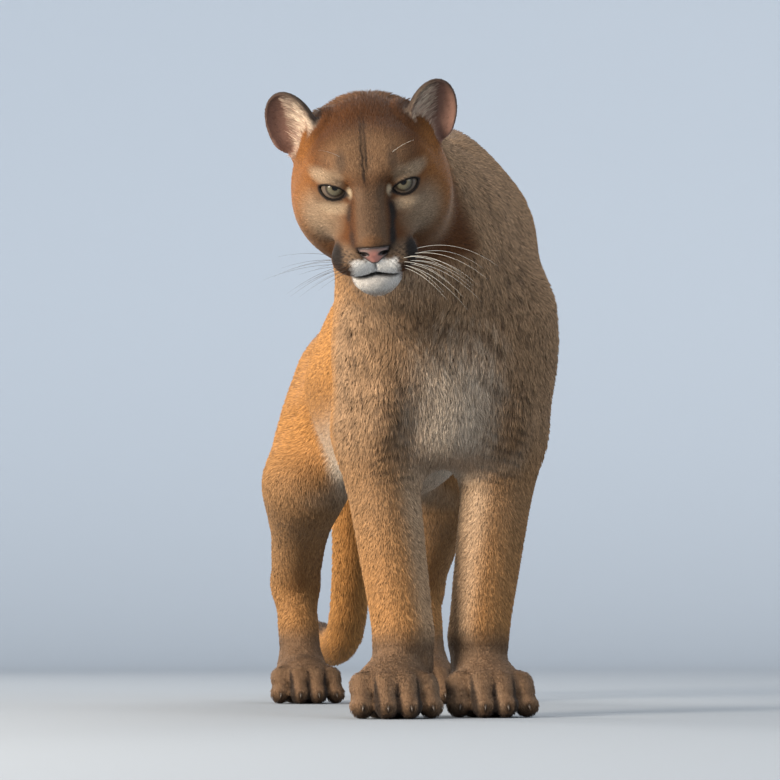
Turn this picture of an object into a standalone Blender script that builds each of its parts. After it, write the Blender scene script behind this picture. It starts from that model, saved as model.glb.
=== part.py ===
"""A cougar at life size, standing with its forepaws close together and its head lowered.

The outline of the coat is one smooth form. It is a field: the distance to a set of muscles
and bones, each an ellipsoid, a tapered bone or a barrel along the spine, blended where they
meet. The form is meshed finely, thinned to few triangles, and parted into the head, neck,
torso, tail and limbs by thin cuts.

Metres, +Z up. The animal faces -Y and its left side is at +X. Points of the head are
given in the head's own frame, which is the world's frame before the head is turned.
"""

import math

import bmesh
import bpy
import numpy as np
from mathutils import Matrix, Vector

# Driving dimensions of the standing animal
CHEST_HALF_WIDTH = 0.093
CHEST_LEAN = 0.007
SIDES = {"left": 1.0, "right": -1.0}

# The barrel of the trunk: y, middle height, half height, half width
TRUNK = (
    (-0.325, 0.500, 0.100, 0.068),
    (-0.270, 0.497, 0.165, 0.090),
    (-0.180, 0.495, 0.184, CHEST_HALF_WIDTH),
    (-0.060, 0.482, 0.166, 0.106),
    (0.080, 0.466, 0.144, 0.107),
    (0.200, 0.448, 0.124, 0.094),
    (0.310, 0.438, 0.106, 0.079),
    (0.400, 0.430, 0.092, 0.066),
    (0.450, 0.427, 0.076, 0.056),
)
TRUNK_ROUND_END = 0.035
BELLY = (0.0, 0.090, 0.345)
BELLY_SIZE = (0.072, 0.220, 0.080)
TRUNK_TAPER = 0.55

# Joints of the left limbs. The right ones mirror them, shifted by the stance.
SHOULDER = (0.076, -0.300, 0.475)
ELBOW = (0.079, -0.221, 0.335)
WRIST = (0.0475, -0.275, 0.100)
FORE_PAW = (0.059, -0.305, 0.0)
HIP = (0.037, 0.395, 0.440)
KNEE = (0.094, 0.284, 0.292)
HOCK = (0.084, 0.472, 0.165)
HIND_TOES = (0.082, 0.392, 0.0)
FORE_STEP = {"left": 0.018, "right": -0.018}
FORE_PAW_SHIFT = -0.008
HIND_STEP = {"left": -0.020, "right": 0.020}

# Where the head is, and how far it turns, nods and tilts
HEAD_TURN = math.radians(-7.0)
HEAD_NOD = math.radians(31.0)
HEAD_TILT = math.radians(-5.5)
EYES_MIDDLE = (-0.1240, -0.5585, 0.5934)

# The head in its own frame
EYE = (0.0380, -0.042, 0.030)
EYE_RADIUS = 0.0165
LID = 0.0026
LID_TILT = 14.0
LID_HALF_LENGTH = 0.0150
LID_RISE = (0.0080, 0.0086)
NOSE = (0.0, -0.112, -0.0215)
NOSE_SIZE = (0.0190, 0.0145, 0.0145)
NOSTRIL = ((0.0068, -0.1180, -0.0212), (0.0138, -0.1072, -0.0190))
LIP_DEPTH = 0.0035
LIP_GAP = 0.0024
MOUTH_CORNER = -0.050
EAR_ROOT = (0.0715, 0.045, 0.048)
EARS_SHIFT = -0.0040
EAR_UP = (0.34, 0.14, 1.0)
EAR_FRONT = (0.30, -0.95, 0.10)
EAR_SIZE = (0.0300, 0.0170, 0.0455)

# The tail's middle line from its root, and its radius there
TAIL_LINE = (
    (0.000, 0.440, 0.470),
    (0.000, 0.515, 0.455),
    (0.003, 0.572, 0.390),
    (0.008, 0.610, 0.295),
    (0.014, 0.655, 0.190),
    (0.016, 0.722, 0.102),
    (0.008, 0.806, 0.070),
    (-0.004, 0.888, 0.088),
)
TAIL_RADII = (0.040, 0.037, 0.031, 0.029, 0.028, 0.028, 0.027, 0.023)
TAIL_LENGTHS = 15

# The cuts between parts, the grain of the meshing, and how many triangles each group keeps
GAP = 0.0003
NOSE_GAP = 0.01
BODY_CELL = 0.008
HEAD_CELL = 0.0022
PAW_CELL = 0.0035
BODY_TRIANGLES = 5600
HEAD_TRIANGLES = 4500
PAW_TRIANGLES = 620
HEAD_REACH = 0.165
LID_STEPS = 24
EAR_CUT = 0.090
WRIST_CUT = 0.092
WELD = 2e-6


def ellipsoid(points, centre, radii, turn=(0.0, 0.0, 0.0)):
    """Distance to an ellipsoid whose axes are turned by angles about x, y and z."""
    axes = np.array(Matrix.Rotation(turn[2], 3, "Z") @ Matrix.Rotation(turn[1], 3, "Y")
                    @ Matrix.Rotation(turn[0], 3, "X"))
    local = (points - np.array(centre)) @ axes
    radii = np.array(radii)
    near = np.linalg.norm(local / radii, axis=1)
    slope = np.linalg.norm(local / radii**2, axis=1)
    return near * (near - 1.0) / np.maximum(slope, 1e-6)


def bone(points, start, end, start_radius, end_radius, wide=1.0):
    """Distance to a tapered rod with round ends, stretched sideways by the factor wide."""
    start, end = np.array(start, float), np.array(end, float)
    along = end - start
    share = np.clip((points - start) @ along / (along @ along), 0.0, 1.0)
    off = points - start - share[:, None] * along
    off[:, 0] /= wide
    return np.linalg.norm(off, axis=1) - (start_radius + (end_radius - start_radius) * share)


def chain(points, joints, radii, wide=1.0):
    """Distance to rods joined end to end."""
    rods = [bone(points, *pair, wide) for pair in
            ((joints[i], joints[i + 1], radii[i], radii[i + 1]) for i in range(len(radii) - 1))]
    return np.min(rods, axis=0)


def smooth_line(at, places, values):
    """A curve through the values at the places, with no corner between them."""
    slopes = np.gradient(values, places)
    cell = np.clip(np.searchsorted(places, at) - 1, 0, len(places) - 2)
    width = places[cell + 1] - places[cell]
    t = np.clip((at - places[cell]) / width, 0.0, 1.0)
    return ((1 + 2 * t) * (1 - t) ** 2 * values[cell] + t * (1 - t) ** 2 * width * slopes[cell]
            + t**2 * (3 - 2 * t) * values[cell + 1] + t**2 * (t - 1) * width * slopes[cell + 1])


def lean(y):
    """How far the middle of the chest stands to the left of the stance, none behind the ribs."""
    return CHEST_LEAN * np.clip((0.05 - y) / 0.25, 0.0, 1.0)


def feet(side):
    """The middle of the forefoot and of the hind foot of one side, and their sizes."""
    sign = SIDES[side]
    return ((FORE_PAW[0] * sign + FORE_PAW_SHIFT, FORE_PAW[1] + FORE_STEP[side], 1.04),
            (HIND_TOES[0] * sign, HIND_TOES[1] + HIND_STEP[side], 0.96))


def trunk(points):
    """Distance to the barrel of the ribs, loins and hips, rounded off at both ends."""
    table = np.array(TRUNK)
    y = points[:, 1]
    middle, half_height, half_width = (
        smooth_line(y, table[:, 0], table[:, column]) for column in (1, 2, 3))
    beyond = np.maximum(np.maximum(table[0, 0] - y, y - table[-1, 0]), 0.0)
    up = (points[:, 2] - middle) / half_height
    half_width = half_width * (1.0 - TRUNK_TAPER * np.clip(up, -0.35, 0.80))
    across, up = np.abs(points[:, 0] - lean(y)) / half_width, np.abs(up)
    section = (across**2.25 + up**2.25) ** (1 / 2.25)
    radius = np.sqrt(section**2 + (beyond / TRUNK_ROUND_END) ** 2)
    return (radius - 1.0) * np.minimum(half_width, half_height) * 0.9


def blend(first, second, reach):
    """Joins two distances with a fillet of about the reach."""
    share = np.clip(0.5 + 0.5 * (second - first) / reach, 0.0, 1.0)
    return second + (first - second) * share - reach * share * (1.0 - share)


def carve(solid, cutter, reach):
    """Takes the cutter from the solid and rounds the edge by about the reach."""
    return -blend(-solid, cutter, reach)


def tail(points):
    """The tail, a curve through its points with the radius changing evenly between them."""
    given = np.arange(len(TAIL_LINE), dtype=float)
    at = np.linspace(0.0, given[-1], TAIL_LENGTHS + 1)
    line = np.column_stack([smooth_line(at, given, np.array(TAIL_LINE)[:, axis]) for axis in range(3)])
    return chain(points, line, np.interp(at, given, TAIL_RADII))


def mirrored(point, side, step=0.0):
    """A left limb's point on either side of the animal, moved along the stride."""
    return (point[0] * SIDES[side], point[1] + step, point[2])


def paw(points, foot, heel):
    """A broad foot with four toes in an arc, knuckles raised and tips set on the ground."""
    x, y, size = foot
    pad = ellipsoid(points, (x, y - 0.006 * size, 0.030 * size),
                    (0.045 * size, 0.046 * size, 0.032 * size))
    pad = blend(pad, bone(points, heel, (x, y, 0.034), 0.031 * size, 0.030 * size), 0.02)
    for place in (-1.5, -0.5, 0.5, 1.5):
        spread = abs(place) - 0.5
        across = x + place * 0.0236 * size
        knuckle = (across * 0.97 + x * 0.03, y - (0.036 - 0.011 * spread) * size, 0.037 * size)
        tip = (across + place * 0.002, y - (0.062 - 0.014 * spread) * size, 0.0138 * size)
        pad = blend(pad, bone(points, knuckle, tip, 0.0162 * size, 0.0146 * size), 0.0075)
    return pad


def foreleg(points, side):
    """Shoulder blade, upper arm, forearm and paw of one side."""
    step = FORE_STEP[side]
    sign = SIDES[side]
    shoulder, elbow = mirrored(SHOULDER, side, step * 0.4), mirrored(ELBOW, side, step * 0.6)
    wrist = mirrored(WRIST, side, step)
    shoulder, elbow = ((joint[0] + CHEST_LEAN, *joint[1:]) for joint in (shoulder, elbow))
    blade = ellipsoid(points, (0.047 * sign + CHEST_LEAN, -0.215 + step * 0.3, 0.545),
                      (0.039, 0.080, 0.146), (math.radians(-16), math.radians(-14) * sign, 0.0))
    arm = ellipsoid(points, (0.077 * sign + CHEST_LEAN, -0.255 + step * 0.5, 0.415),
                    (0.0365, 0.068, 0.108),
                    (math.radians(-24), 0.0, 0.0))
    limb = blend(blade, arm, 0.05)
    limb = blend(limb, bone(points, shoulder, elbow, 0.046, 0.042), 0.04)
    limb = blend(limb, bone(points, elbow, wrist, 0.0475, 0.0370, 0.98), 0.04)
    limb = blend(limb, bone(points, (elbow[0], elbow[1] + 0.022, elbow[2] + 0.012),
                            (elbow[0], elbow[1] + 0.004, elbow[2] - 0.06), 0.022, 0.020), 0.03)
    heel = (wrist[0], wrist[1] + 0.006, wrist[2] - 0.02)
    foot = paw(points, feet(side)[0], heel)
    foot = blend(foot, ellipsoid(points, (wrist[0] - 0.024 * sign, wrist[1] - 0.012, 0.062),
                                 (0.010, 0.015, 0.019)), 0.012)
    return blend(limb, foot, 0.016)


def hindleg(points, side):
    """Thigh, shank, hock and foot of one side."""
    step = HIND_STEP[side]
    sign = SIDES[side]
    hip, knee = mirrored(HIP, side, step * 0.3), mirrored(KNEE, side, step * 0.6)
    hock, toes = mirrored(HOCK, side, step), mirrored(HIND_TOES, side, step)
    thigh = ellipsoid(points, (0.073 * sign, 0.350 + step * 0.5, 0.345), (0.048, 0.090, 0.118),
                      (math.radians(30), math.radians(-18) * sign, 0.0))
    rump = ellipsoid(points, (0.037 * sign, 0.425, 0.410), (0.044, 0.070, 0.098),
                     (math.radians(12), 0.0, 0.0))
    limb = blend(thigh, rump, 0.05)
    limb = blend(limb, bone(points, hip, knee, 0.047, 0.046), 0.05)
    calf = (0.090 * sign, 0.385 + step, 0.250)
    limb = blend(limb, bone(points, knee, hock, 0.050, 0.026), 0.035)
    limb = blend(limb, bone(points, (calf[0], calf[1] + 0.012, calf[2] + 0.03), hock,
                            0.038, 0.024), 0.03)
    limb = blend(limb, bone(points, (hock[0], hock[1] + 0.012, hock[2]),
                            (toes[0], toes[1] + 0.028, 0.045), 0.0285, 0.028), 0.022)
    foot = paw(points, feet(side)[1], (toes[0], toes[1] + 0.03, 0.046))
    return blend(limb, foot, 0.016)


def head_axes():
    """The head's three axes as columns, and its place in the world."""
    axes = np.array(Matrix.Rotation(HEAD_TURN, 3, "Z") @ Matrix.Rotation(HEAD_NOD, 3, "X")
                    @ Matrix.Rotation(HEAD_TILT, 3, "Y"))
    between_eyes = np.array((0.0, EYE[1], EYE[2]))
    return axes, np.array(EYES_MIDDLE) - axes @ between_eyes


def to_head(points):
    """World points in the head's frame."""
    axes, place = head_axes()
    return (points - place) @ axes


def from_head(local):
    """A point of the head's frame in the world."""
    axes, place = head_axes()
    return place + axes @ np.array(local)


def neck(points):
    """The neck, bent from the shoulders to the back of the head, and the throat."""
    nape = from_head((0.0, 0.074, 0.020))
    throat = from_head((0.0, 0.034, -0.036))
    form = chain(points, ((CHEST_LEAN, -0.190, 0.570), (-0.037, -0.330, 0.580), nape),
                 (0.111, 0.092, 0.068), 1.10)
    form = blend(form, chain(points, ((CHEST_LEAN, -0.250, 0.480), (-0.040, -0.360, 0.520), throat),
                             (0.100, 0.086, 0.060)), 0.06)
    breast = ellipsoid(points, (CHEST_LEAN, -0.262, 0.400), (0.075, 0.074, 0.104),
                       (math.radians(-14), 0.0, 0.0))
    return blend(form, breast, 0.09)


def jaws(local):
    """The head's masses in its own frame, as two forms: all down to the upper lip, and the
    lower jaw with the chin."""
    half = np.column_stack([np.abs(local[:, 0]), local[:, 1], local[:, 2]])
    upper = ellipsoid(half, (0.0, 0.024, 0.020), (0.073, 0.088, 0.066))
    upper = blend(upper, ellipsoid(half, (0.050, 0.010, -0.008), (0.040, 0.056, 0.051)), 0.03)
    upper = blend(upper, ellipsoid(half, (0.020, -0.020, 0.048), (0.042, 0.040, 0.030)), 0.03)
    upper = blend(upper, bone(half, (0.0, -0.030, 0.026), (0.0, -0.100, -0.009), 0.034, 0.0185, 1.05),
                  0.02)
    upper = blend(upper, ellipsoid(half, (0.035, -0.040, 0.000), (0.022, 0.028, 0.022)), 0.02)
    upper = blend(upper, ellipsoid(half, (0.0, -0.066, -0.030), (0.041, 0.040, 0.031)), 0.022)
    upper = blend(upper, ellipsoid(half, (0.0225, -0.0865, -0.0365), (0.0258, 0.0250, 0.0192)), 0.013)
    lower = bone(half, (0.0, -0.072, -0.064), (0.038, 0.012, -0.041), 0.0165, 0.029)
    lower = blend(lower, ellipsoid(half, (0.0, 0.020, -0.040), (0.054, 0.060, 0.038)), 0.03)
    lower = blend(lower, ellipsoid(half, (0.0, -0.0765, -0.0632), (0.0290, 0.0258, 0.0205)), 0.012)
    return upper, lower


def skull(local):
    """Both jaws, blended behind the corner of the mouth and meeting in a crease before it."""
    upper, lower = jaws(local)
    behind = np.clip((local[:, 1] - MOUTH_CORNER) / 0.020, 0.0, 1.0)
    return blend(upper, lower, 0.0015 + 0.020 * behind)


def nose_form(local):
    """The nose leather: a broad top, wings at each side and a narrow foot."""
    half = np.column_stack([np.abs(local[:, 0]), local[:, 1], local[:, 2]])
    form = ellipsoid(half, (0.0, -0.1065, -0.0190), (0.0135, 0.0105, 0.0085))
    form = blend(form, ellipsoid(half, (0.0102, -0.1035, -0.0190), (0.0072, 0.0090, 0.0068)), 0.004)
    return blend(form, ellipsoid(half, (0.0, -0.1060, -0.0275), (0.0055, 0.0080, 0.0080)), 0.005)


def head_details(form, local):
    """Adds the nose and lids and carves the nostrils, mouth and groove under the nose."""
    x, y, z = np.abs(local[:, 0]), local[:, 1], local[:, 2]
    half = np.column_stack([x, y, z])
    form = carve(form, ellipsoid(half, (0.0390, -0.072, 0.031), (0.022, 0.020, 0.015)), 0.012)
    form = blend(form, ellipsoid(half, EYE, (EYE_RADIUS + LID,) * 3), 0.006)
    form = blend(form, nose_form(local), 0.003)
    form = carve(form, bone(half, *NOSTRIL, 0.0021, 0.0027), 0.0015)
    upper, lower = jaws(local)
    lips = np.maximum(np.abs(upper - lower) - LIP_GAP, y - MOUTH_CORNER - 0.006)
    form = carve(form, np.maximum(lips, -(form + LIP_DEPTH)), 0.0015)
    groove = np.maximum(np.maximum(x - 0.5 * (form + 0.004), np.abs(z + 0.042) - 0.009), y + 0.094)
    return carve(form, groove, 0.0020)


def gaze(side):
    """Where an eye looks in the head's frame, and the long and short axes of its lids."""
    sign = SIDES[side]
    look = Vector((0.20 * sign, -0.95, 0.15)).normalized()
    out = (Vector((0.0, 0.0, 1.0)).cross(look) * sign).normalized()
    up = look.cross(out) * sign
    turn = math.radians(LID_TILT)
    return look, math.cos(turn) * out + math.sin(turn) * up, math.cos(turn) * up - math.sin(turn) * out


def body(points):
    """The whole form without the fine work of the head."""
    form = blend(trunk(points), neck(points), 0.05)
    form = blend(form, ellipsoid(points, BELLY, BELLY_SIZE), 0.06)
    for side in SIDES:
        reach = np.interp(points[:, 2], (0.10, 0.30), (0.006, 0.045))
        form = blend(form, foreleg(points, side), reach)
        form = blend(form, hindleg(points, side), 0.045)
    form = blend(form, tail(points), 0.03)
    return blend(form, skull(to_head(points)), 0.035)


def head(points):
    """The whole form with the head's fine work."""
    local = to_head(points)
    form = head_details(body(points), local)
    for side in SIDES:
        form = blend(form, ear_form(local, side), 0.008)
    return form


def ear_form(local, side):
    """A cup with a thin rim, hollowed from the front."""
    sign = SIDES[side]
    up = np.array((EAR_UP[0] * sign, EAR_UP[1], EAR_UP[2]))
    up /= np.linalg.norm(up)
    front = np.array((EAR_FRONT[0] * sign, EAR_FRONT[1], EAR_FRONT[2]))
    front -= (front @ up) * up
    front /= np.linalg.norm(front)
    off = local - np.array((EAR_ROOT[0] * sign + EARS_SHIFT, EAR_ROOT[1], EAR_ROOT[2]))
    own = off @ np.column_stack([np.cross(front, up), front, up])
    wide, deep, high = EAR_SIZE
    shell = ellipsoid(own, (0.0, 0.0, high * 0.42), (wide, deep, high))
    hollow = ellipsoid(own, (0.0, deep * 0.62, high * 0.50), (wide * 0.84, deep * 1.30, high * 0.88))
    return carve(shell, hollow, 0.003)


def within(field, planes):
    """A field that ends at each plane (point, normal out)."""
    def limited(points):
        ends = [(points - np.array(point)) @ (np.array(normal) / np.linalg.norm(normal))
                for point, normal in planes]
        return np.maximum(field(points), np.max(ends, axis=0))
    return limited


def surface_net(field, low, high, cell):
    """Vertices and quads of the surface where the field is nought.

    The box is divided into blocks of cells, and only the blocks near the surface are worked
    out. Each cell that the surface crosses gets one vertex, the mean of the crossings on its
    edges, and each crossed edge joins the vertices of its four cells by a quad.
    """
    block = 4
    low = np.array(low)
    counts = np.ceil((np.array(high) - low) / (cell * block)).astype(int)
    corners = np.indices(counts + 1).reshape(3, -1).T * block
    rough = np.abs(field(low + corners * cell)).reshape(counts + 1)
    nearest = np.min([rough[i:i - 1 or None, j:j - 1 or None, k:k - 1 or None]
                      for i in (0, 1) for j in (0, 1) for k in (0, 1)], axis=0)
    starts = np.argwhere(nearest < 1.25 * block * cell) * block
    inner = np.indices((block,) * 3).reshape(3, -1).T
    cells = (starts[:, None] + inner).reshape(-1, 3)
    span = counts.max() * block + 2
    weights = np.array((span * span, span, 1))
    cell_keys = np.sort(cells @ weights)
    unit = np.eye(3, dtype=int)
    grid_keys = np.unique(np.concatenate([cell_keys + (np.array((i, j, k)) @ weights)
                                          for i in (0, 1) for j in (0, 1) for k in (0, 1)]))
    grid = np.column_stack([grid_keys // weights[0], grid_keys // span % span, grid_keys % span])
    values = np.concatenate([field(low + part * cell)
                             for part in np.array_split(grid, 1 + len(grid) // 200000)])
    values = without_pinches(values, grid_keys, weights, cell)
    totals = np.zeros((len(cell_keys), 3))
    hits = np.zeros(len(cell_keys))
    quads = []
    for axis in range(3):
        b, c = unit[(axis + 1) % 3], unit[(axis + 2) % 3]
        far = np.searchsorted(grid_keys, grid_keys + weights[axis])
        far = np.minimum(far, len(grid_keys) - 1)
        joined = grid_keys[far] == grid_keys + weights[axis]
        crossed = joined & ((values < 0) != (values[far] < 0))
        start, first, last = grid[crossed], values[crossed], values[far[crossed]]
        ring = np.stack([(start - i * b - j * c) @ weights
                         for i, j in ((1, 1), (0, 1), (0, 0), (1, 0))], axis=1)
        place = np.minimum(np.searchsorted(cell_keys, ring), len(cell_keys) - 1)
        whole = (cell_keys[place] == ring).all(axis=1)
        place, start, first, last = place[whole], start[whole], first[whole], last[whole]
        crossing = start + (first / (first - last))[:, None] * unit[axis]
        for corner in place.T:
            np.add.at(totals, corner, crossing)
            np.add.at(hits, corner, 1)
        quads.append(np.where((first < 0)[:, None], place, place[:, ::-1]))
    quads = np.concatenate(quads)
    used, quads = np.unique(quads, return_inverse=True)
    points = low + totals[used] / hits[used][:, None] * cell
    return points, quads.reshape(-1, 4)


def without_pinches(values, keys, weights, cell):
    """Fills the grid points where two parts of the surface would share an edge: those of a
    square whose inside and outside corners alternate."""
    for _ in range(12):
        filled = np.zeros(len(values), bool)
        for axis in range(3):
            first, second = weights[(axis + 1) % 3], weights[(axis + 2) % 3]
            square = np.stack([np.minimum(np.searchsorted(keys, keys + shift), len(keys) - 1)
                               for shift in (0, first, first + second, second)])
            wanted = keys + np.array((0, first, first + second, second))[:, None]
            whole = (keys[square] == wanted).all(axis=0)
            inside = values[square] < 0
            mixed = whole & (inside[0] == inside[2]) & (inside[1] == inside[3]) & (
                inside[0] != inside[1])
            chosen = square[:, mixed]
            filled[chosen[values[chosen] >= 0]] = True
        if not filled.any():
            break
        values = np.where(filled, -0.02 * cell, values)
    return values


def material(name, colour, roughness):
    """A plain painted finish."""
    made = bpy.data.materials.new(name)
    made.use_nodes = True
    shader = made.node_tree.nodes["Principled BSDF"]
    shader.inputs["Base Color"].default_value = (*colour, 1.0)
    shader.inputs["Roughness"].default_value = roughness
    return made


def mesh_object(name, points, faces):
    """An object with this mesh in the scene."""
    mesh = bpy.data.meshes.new(name)
    mesh.from_pydata(np.asarray(points).tolist(), [], np.asarray(faces).tolist())
    mesh.validate()
    made = bpy.data.objects.new(name, mesh)
    bpy.context.scene.collection.objects.link(made)
    return made


def apply_modifiers(made):
    """Writes an object's modifiers into its mesh."""
    graph = bpy.context.evaluated_depsgraph_get()
    shaped = bpy.data.meshes.new_from_object(made.evaluated_get(graph))
    made.modifiers.clear()
    old, made.data = made.data, shaped
    bpy.data.meshes.remove(old)
    shaped.name = made.name


def thinned(made, triangles):
    """Collapses the flattest edges until about this many triangles are left."""
    faces = sum(len(face.vertices) - 2 for face in made.data.polygons)
    reduce = made.modifiers.new("thin", "DECIMATE")
    reduce.ratio = triangles / faces
    reduce.use_collapse_triangulate = True
    apply_modifiers(made)
    return made


def largest_shell(form):
    """Keeps the largest closed surface of a mesh."""
    left, shells = set(form.faces), []
    while left:
        stack = [left.pop()]
        shell = []
        while stack:
            face = stack.pop()
            shell.append(face)
            for edge in face.edges:
                for other in edge.link_faces:
                    if other in left:
                        left.remove(other)
                        stack.append(other)
        shells.append(shell)
    shells.sort(key=len)
    bmesh.ops.delete(form, geom=[face for shell in shells[:-1] for face in shell], context="FACES")


def clipped(source, name, planes):
    """What of the source lies on the inner side of each plane (point, normal out), cut back
    by half the gap."""
    copy = bpy.data.objects.new(name, source.data.copy())
    bpy.context.scene.collection.objects.link(copy)
    return combine(copy, block(planes, -GAP / 2), "INTERSECT")


def cut_away(form, point, normal, offset):
    """Takes what lies beyond a plane off a mesh and fills the cut."""
    geometry = form.verts[:] + form.edges[:] + form.faces[:]
    cut = bmesh.ops.bisect_plane(form, geom=geometry, dist=1e-7, plane_co=point + normal * offset,
                                 plane_no=normal, clear_outer=True)
    rim = [edge for edge in cut["geom_cut"] if isinstance(edge, bmesh.types.BMEdge)]
    bmesh.ops.holes_fill(form, edges=rim, sides=0)


def closed(form, name):
    """Ends the work on a mesh: its largest closed surface in triangles, as an object."""
    bmesh.ops.remove_doubles(form, verts=form.verts[:], dist=WELD)
    bmesh.ops.dissolve_degenerate(form, edges=form.edges[:], dist=WELD)
    bmesh.ops.triangulate(form, faces=form.faces[:])
    largest_shell(form)
    bmesh.ops.recalc_face_normals(form, faces=form.faces[:])
    mesh = bpy.data.meshes.new(name)
    form.to_mesh(mesh)
    form.free()
    made = bpy.data.objects.new(name, mesh)
    bpy.context.scene.collection.objects.link(made)
    return made


def block(planes, offset):
    """A closed block that fills the inner side of the planes, moved out by the offset."""
    form = bmesh.new()
    bmesh.ops.create_cube(form, size=3.0)
    for point, normal in planes:
        cut_away(form, Vector(point), Vector(normal).normalized(), offset)
    return closed(form, "block")


def ball(name, centre, radius, turn=None, stretch=(1.0, 1.0, 1.0), detail=3):
    """A closed ball of triangles, stretched along its own axes and turned."""
    form = bmesh.new()
    shape = Matrix.Diagonal((*stretch, 1.0))
    if turn is not None:
        shape = turn.to_4x4() @ shape
    bmesh.ops.create_icosphere(form, subdivisions=detail, radius=radius,
                               matrix=Matrix.Translation(Vector(centre)) @ shape)
    return closed(form, name)


def combine(made, tool, operation):
    """Cuts an object by a tool or keeps their overlap, and removes the tool."""
    boolean = made.modifiers.new(operation.lower(), "BOOLEAN")
    boolean.operation = operation
    boolean.solver = "EXACT"
    boolean.object = tool
    apply_modifiers(made)
    name = made.name
    form = bmesh.new()
    form.from_mesh(made.data)
    for old in (tool, made):
        bpy.data.objects.remove(old)
    return closed(form, name)


def lid_cutter(side):
    """A block with the almond outline of the opening between the lids, run out of the head."""
    look, long_axis, short_axis = gaze(side)
    centre = Vector((EYE[0] * SIDES[side], EYE[1], EYE[2]))
    outline = []
    for step in range(LID_STEPS):
        angle = 2.0 * math.pi * step / LID_STEPS
        along = LID_HALF_LENGTH * math.cos(angle)
        rise = LID_RISE[0] if math.sin(angle) > 0 else LID_RISE[1]
        outline.append(centre + along * long_axis + rise * math.sin(angle) * abs(
            math.sin(angle)) ** 0.3 * short_axis)
    points = [from_head(point + depth * look) for depth in (0.006, 0.040) for point in outline]
    count = LID_STEPS
    faces = [list(range(count))[::-1], list(range(count, 2 * count))]
    faces += [[i, (i + 1) % count, count + (i + 1) % count, count + i] for i in range(count)]
    form = bmesh.new()
    corners = [form.verts.new(point) for point in points]
    for face in faces:
        form.faces.new([corners[i] for i in face])
    return closed(form, "lid_cutter")


def finished(made, finish):
    """Gives an object its material and smooth shading."""
    made.data.materials.clear()
    made.data.materials.append(finish)
    made.data.shade_smooth()
    made.data.set_sharp_from_angle(angle=math.radians(50.0))
    return made


def head_place(local):
    """A point of the head's frame as a vector of the world."""
    return Vector(from_head(local))


def head_direction(local):
    """A direction of the head's frame in the world."""
    return Vector(head_axes()[0] @ np.array(local))


def ear_planes(side):
    """The block round an ear: its root, then in front of it and behind it."""
    out = Vector((0.80 * SIDES[side], 0.0, 0.60))
    return ((head_place(out * EAR_CUT), head_direction(-out)),
            (head_place((0.0, EAR_ROOT[1] - 0.036, 0.0)), head_direction((0.0, -1.0, 0.0))),
            (head_place((0.0, EAR_ROOT[1] + 0.040, 0.0)), head_direction((0.0, 1.0, 0.0))))


def head_parts(coat, leather, eye_finish):
    """The head with its ears, nose and eyes, from one fine mesh."""
    centre = head_axes()[1]
    neck_cut = (centre + np.array((0.0, 0.058, 0.0)), (0.17, 0.98, 0.0))
    end = (neck_cut[0] + np.array((0.0, 0.010, 0.0)), neck_cut[1])
    points, faces = surface_net(within(head, (end,)), centre - HEAD_REACH, centre + HEAD_REACH,
                                HEAD_CELL)
    whole = thinned(mesh_object("head_whole", points, faces), HEAD_TRIANGLES)
    made = clipped(whole, "head", (neck_cut,))
    turn = Matrix(head_axes()[0].tolist())
    for side in SIDES:
        ear = clipped(whole, f"ear_{side}", ear_planes(side))
        finished(ear, coat)
        made = combine(made, block(ear_planes(side), GAP / 2), "DIFFERENCE")
    leaf = dict(turn=turn, stretch=NOSE_SIZE)
    nose = combine(clipped(made, "nose", ()), ball("tool", head_place(NOSE), 1.0 - NOSE_GAP, **leaf),
                   "INTERSECT")
    finished(nose, leather)
    made = combine(made, ball("tool", head_place(NOSE), 1.0 + NOSE_GAP, **leaf), "DIFFERENCE")
    for side in SIDES:
        eye = head_place((EYE[0] * SIDES[side], EYE[1], EYE[2]))
        made = combine(made, lid_cutter(side), "DIFFERENCE")
        made = combine(made, ball("tool", eye, EYE_RADIUS + GAP), "DIFFERENCE")
        finished(ball(f"eye_{side}", eye, EYE_RADIUS), eye_finish)
    made.name = "head"
    finished(made, coat)
    bpy.data.objects.remove(whole)
    return neck_cut


def opposite(plane):
    """The same plane seen from its other side."""
    return plane[0], -Vector(plane[1])


def leg_planes(side):
    """The cuts of a foreleg and of a hind leg on one side."""
    sign = SIDES[side]
    middle = ((0.0, 0.0, 0.0), (-sign, 0.0, 0.0))
    fore_top = ((0.014 * sign, 0.0, 0.300), (-0.69 * sign, 0.0, 0.72))
    fore_back = ((0.0, -0.150, 0.0), (0.0, 1.0, 0.0))
    hind_top = ((0.012 * sign, 0.0, 0.325), (-0.80 * sign, 0.0, 0.60))
    hind_front = ((0.0, 0.185, 0.0), (0.0, -1.0, 0.0))
    return (middle, fore_top, fore_back), (middle, hind_top, hind_front)


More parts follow.
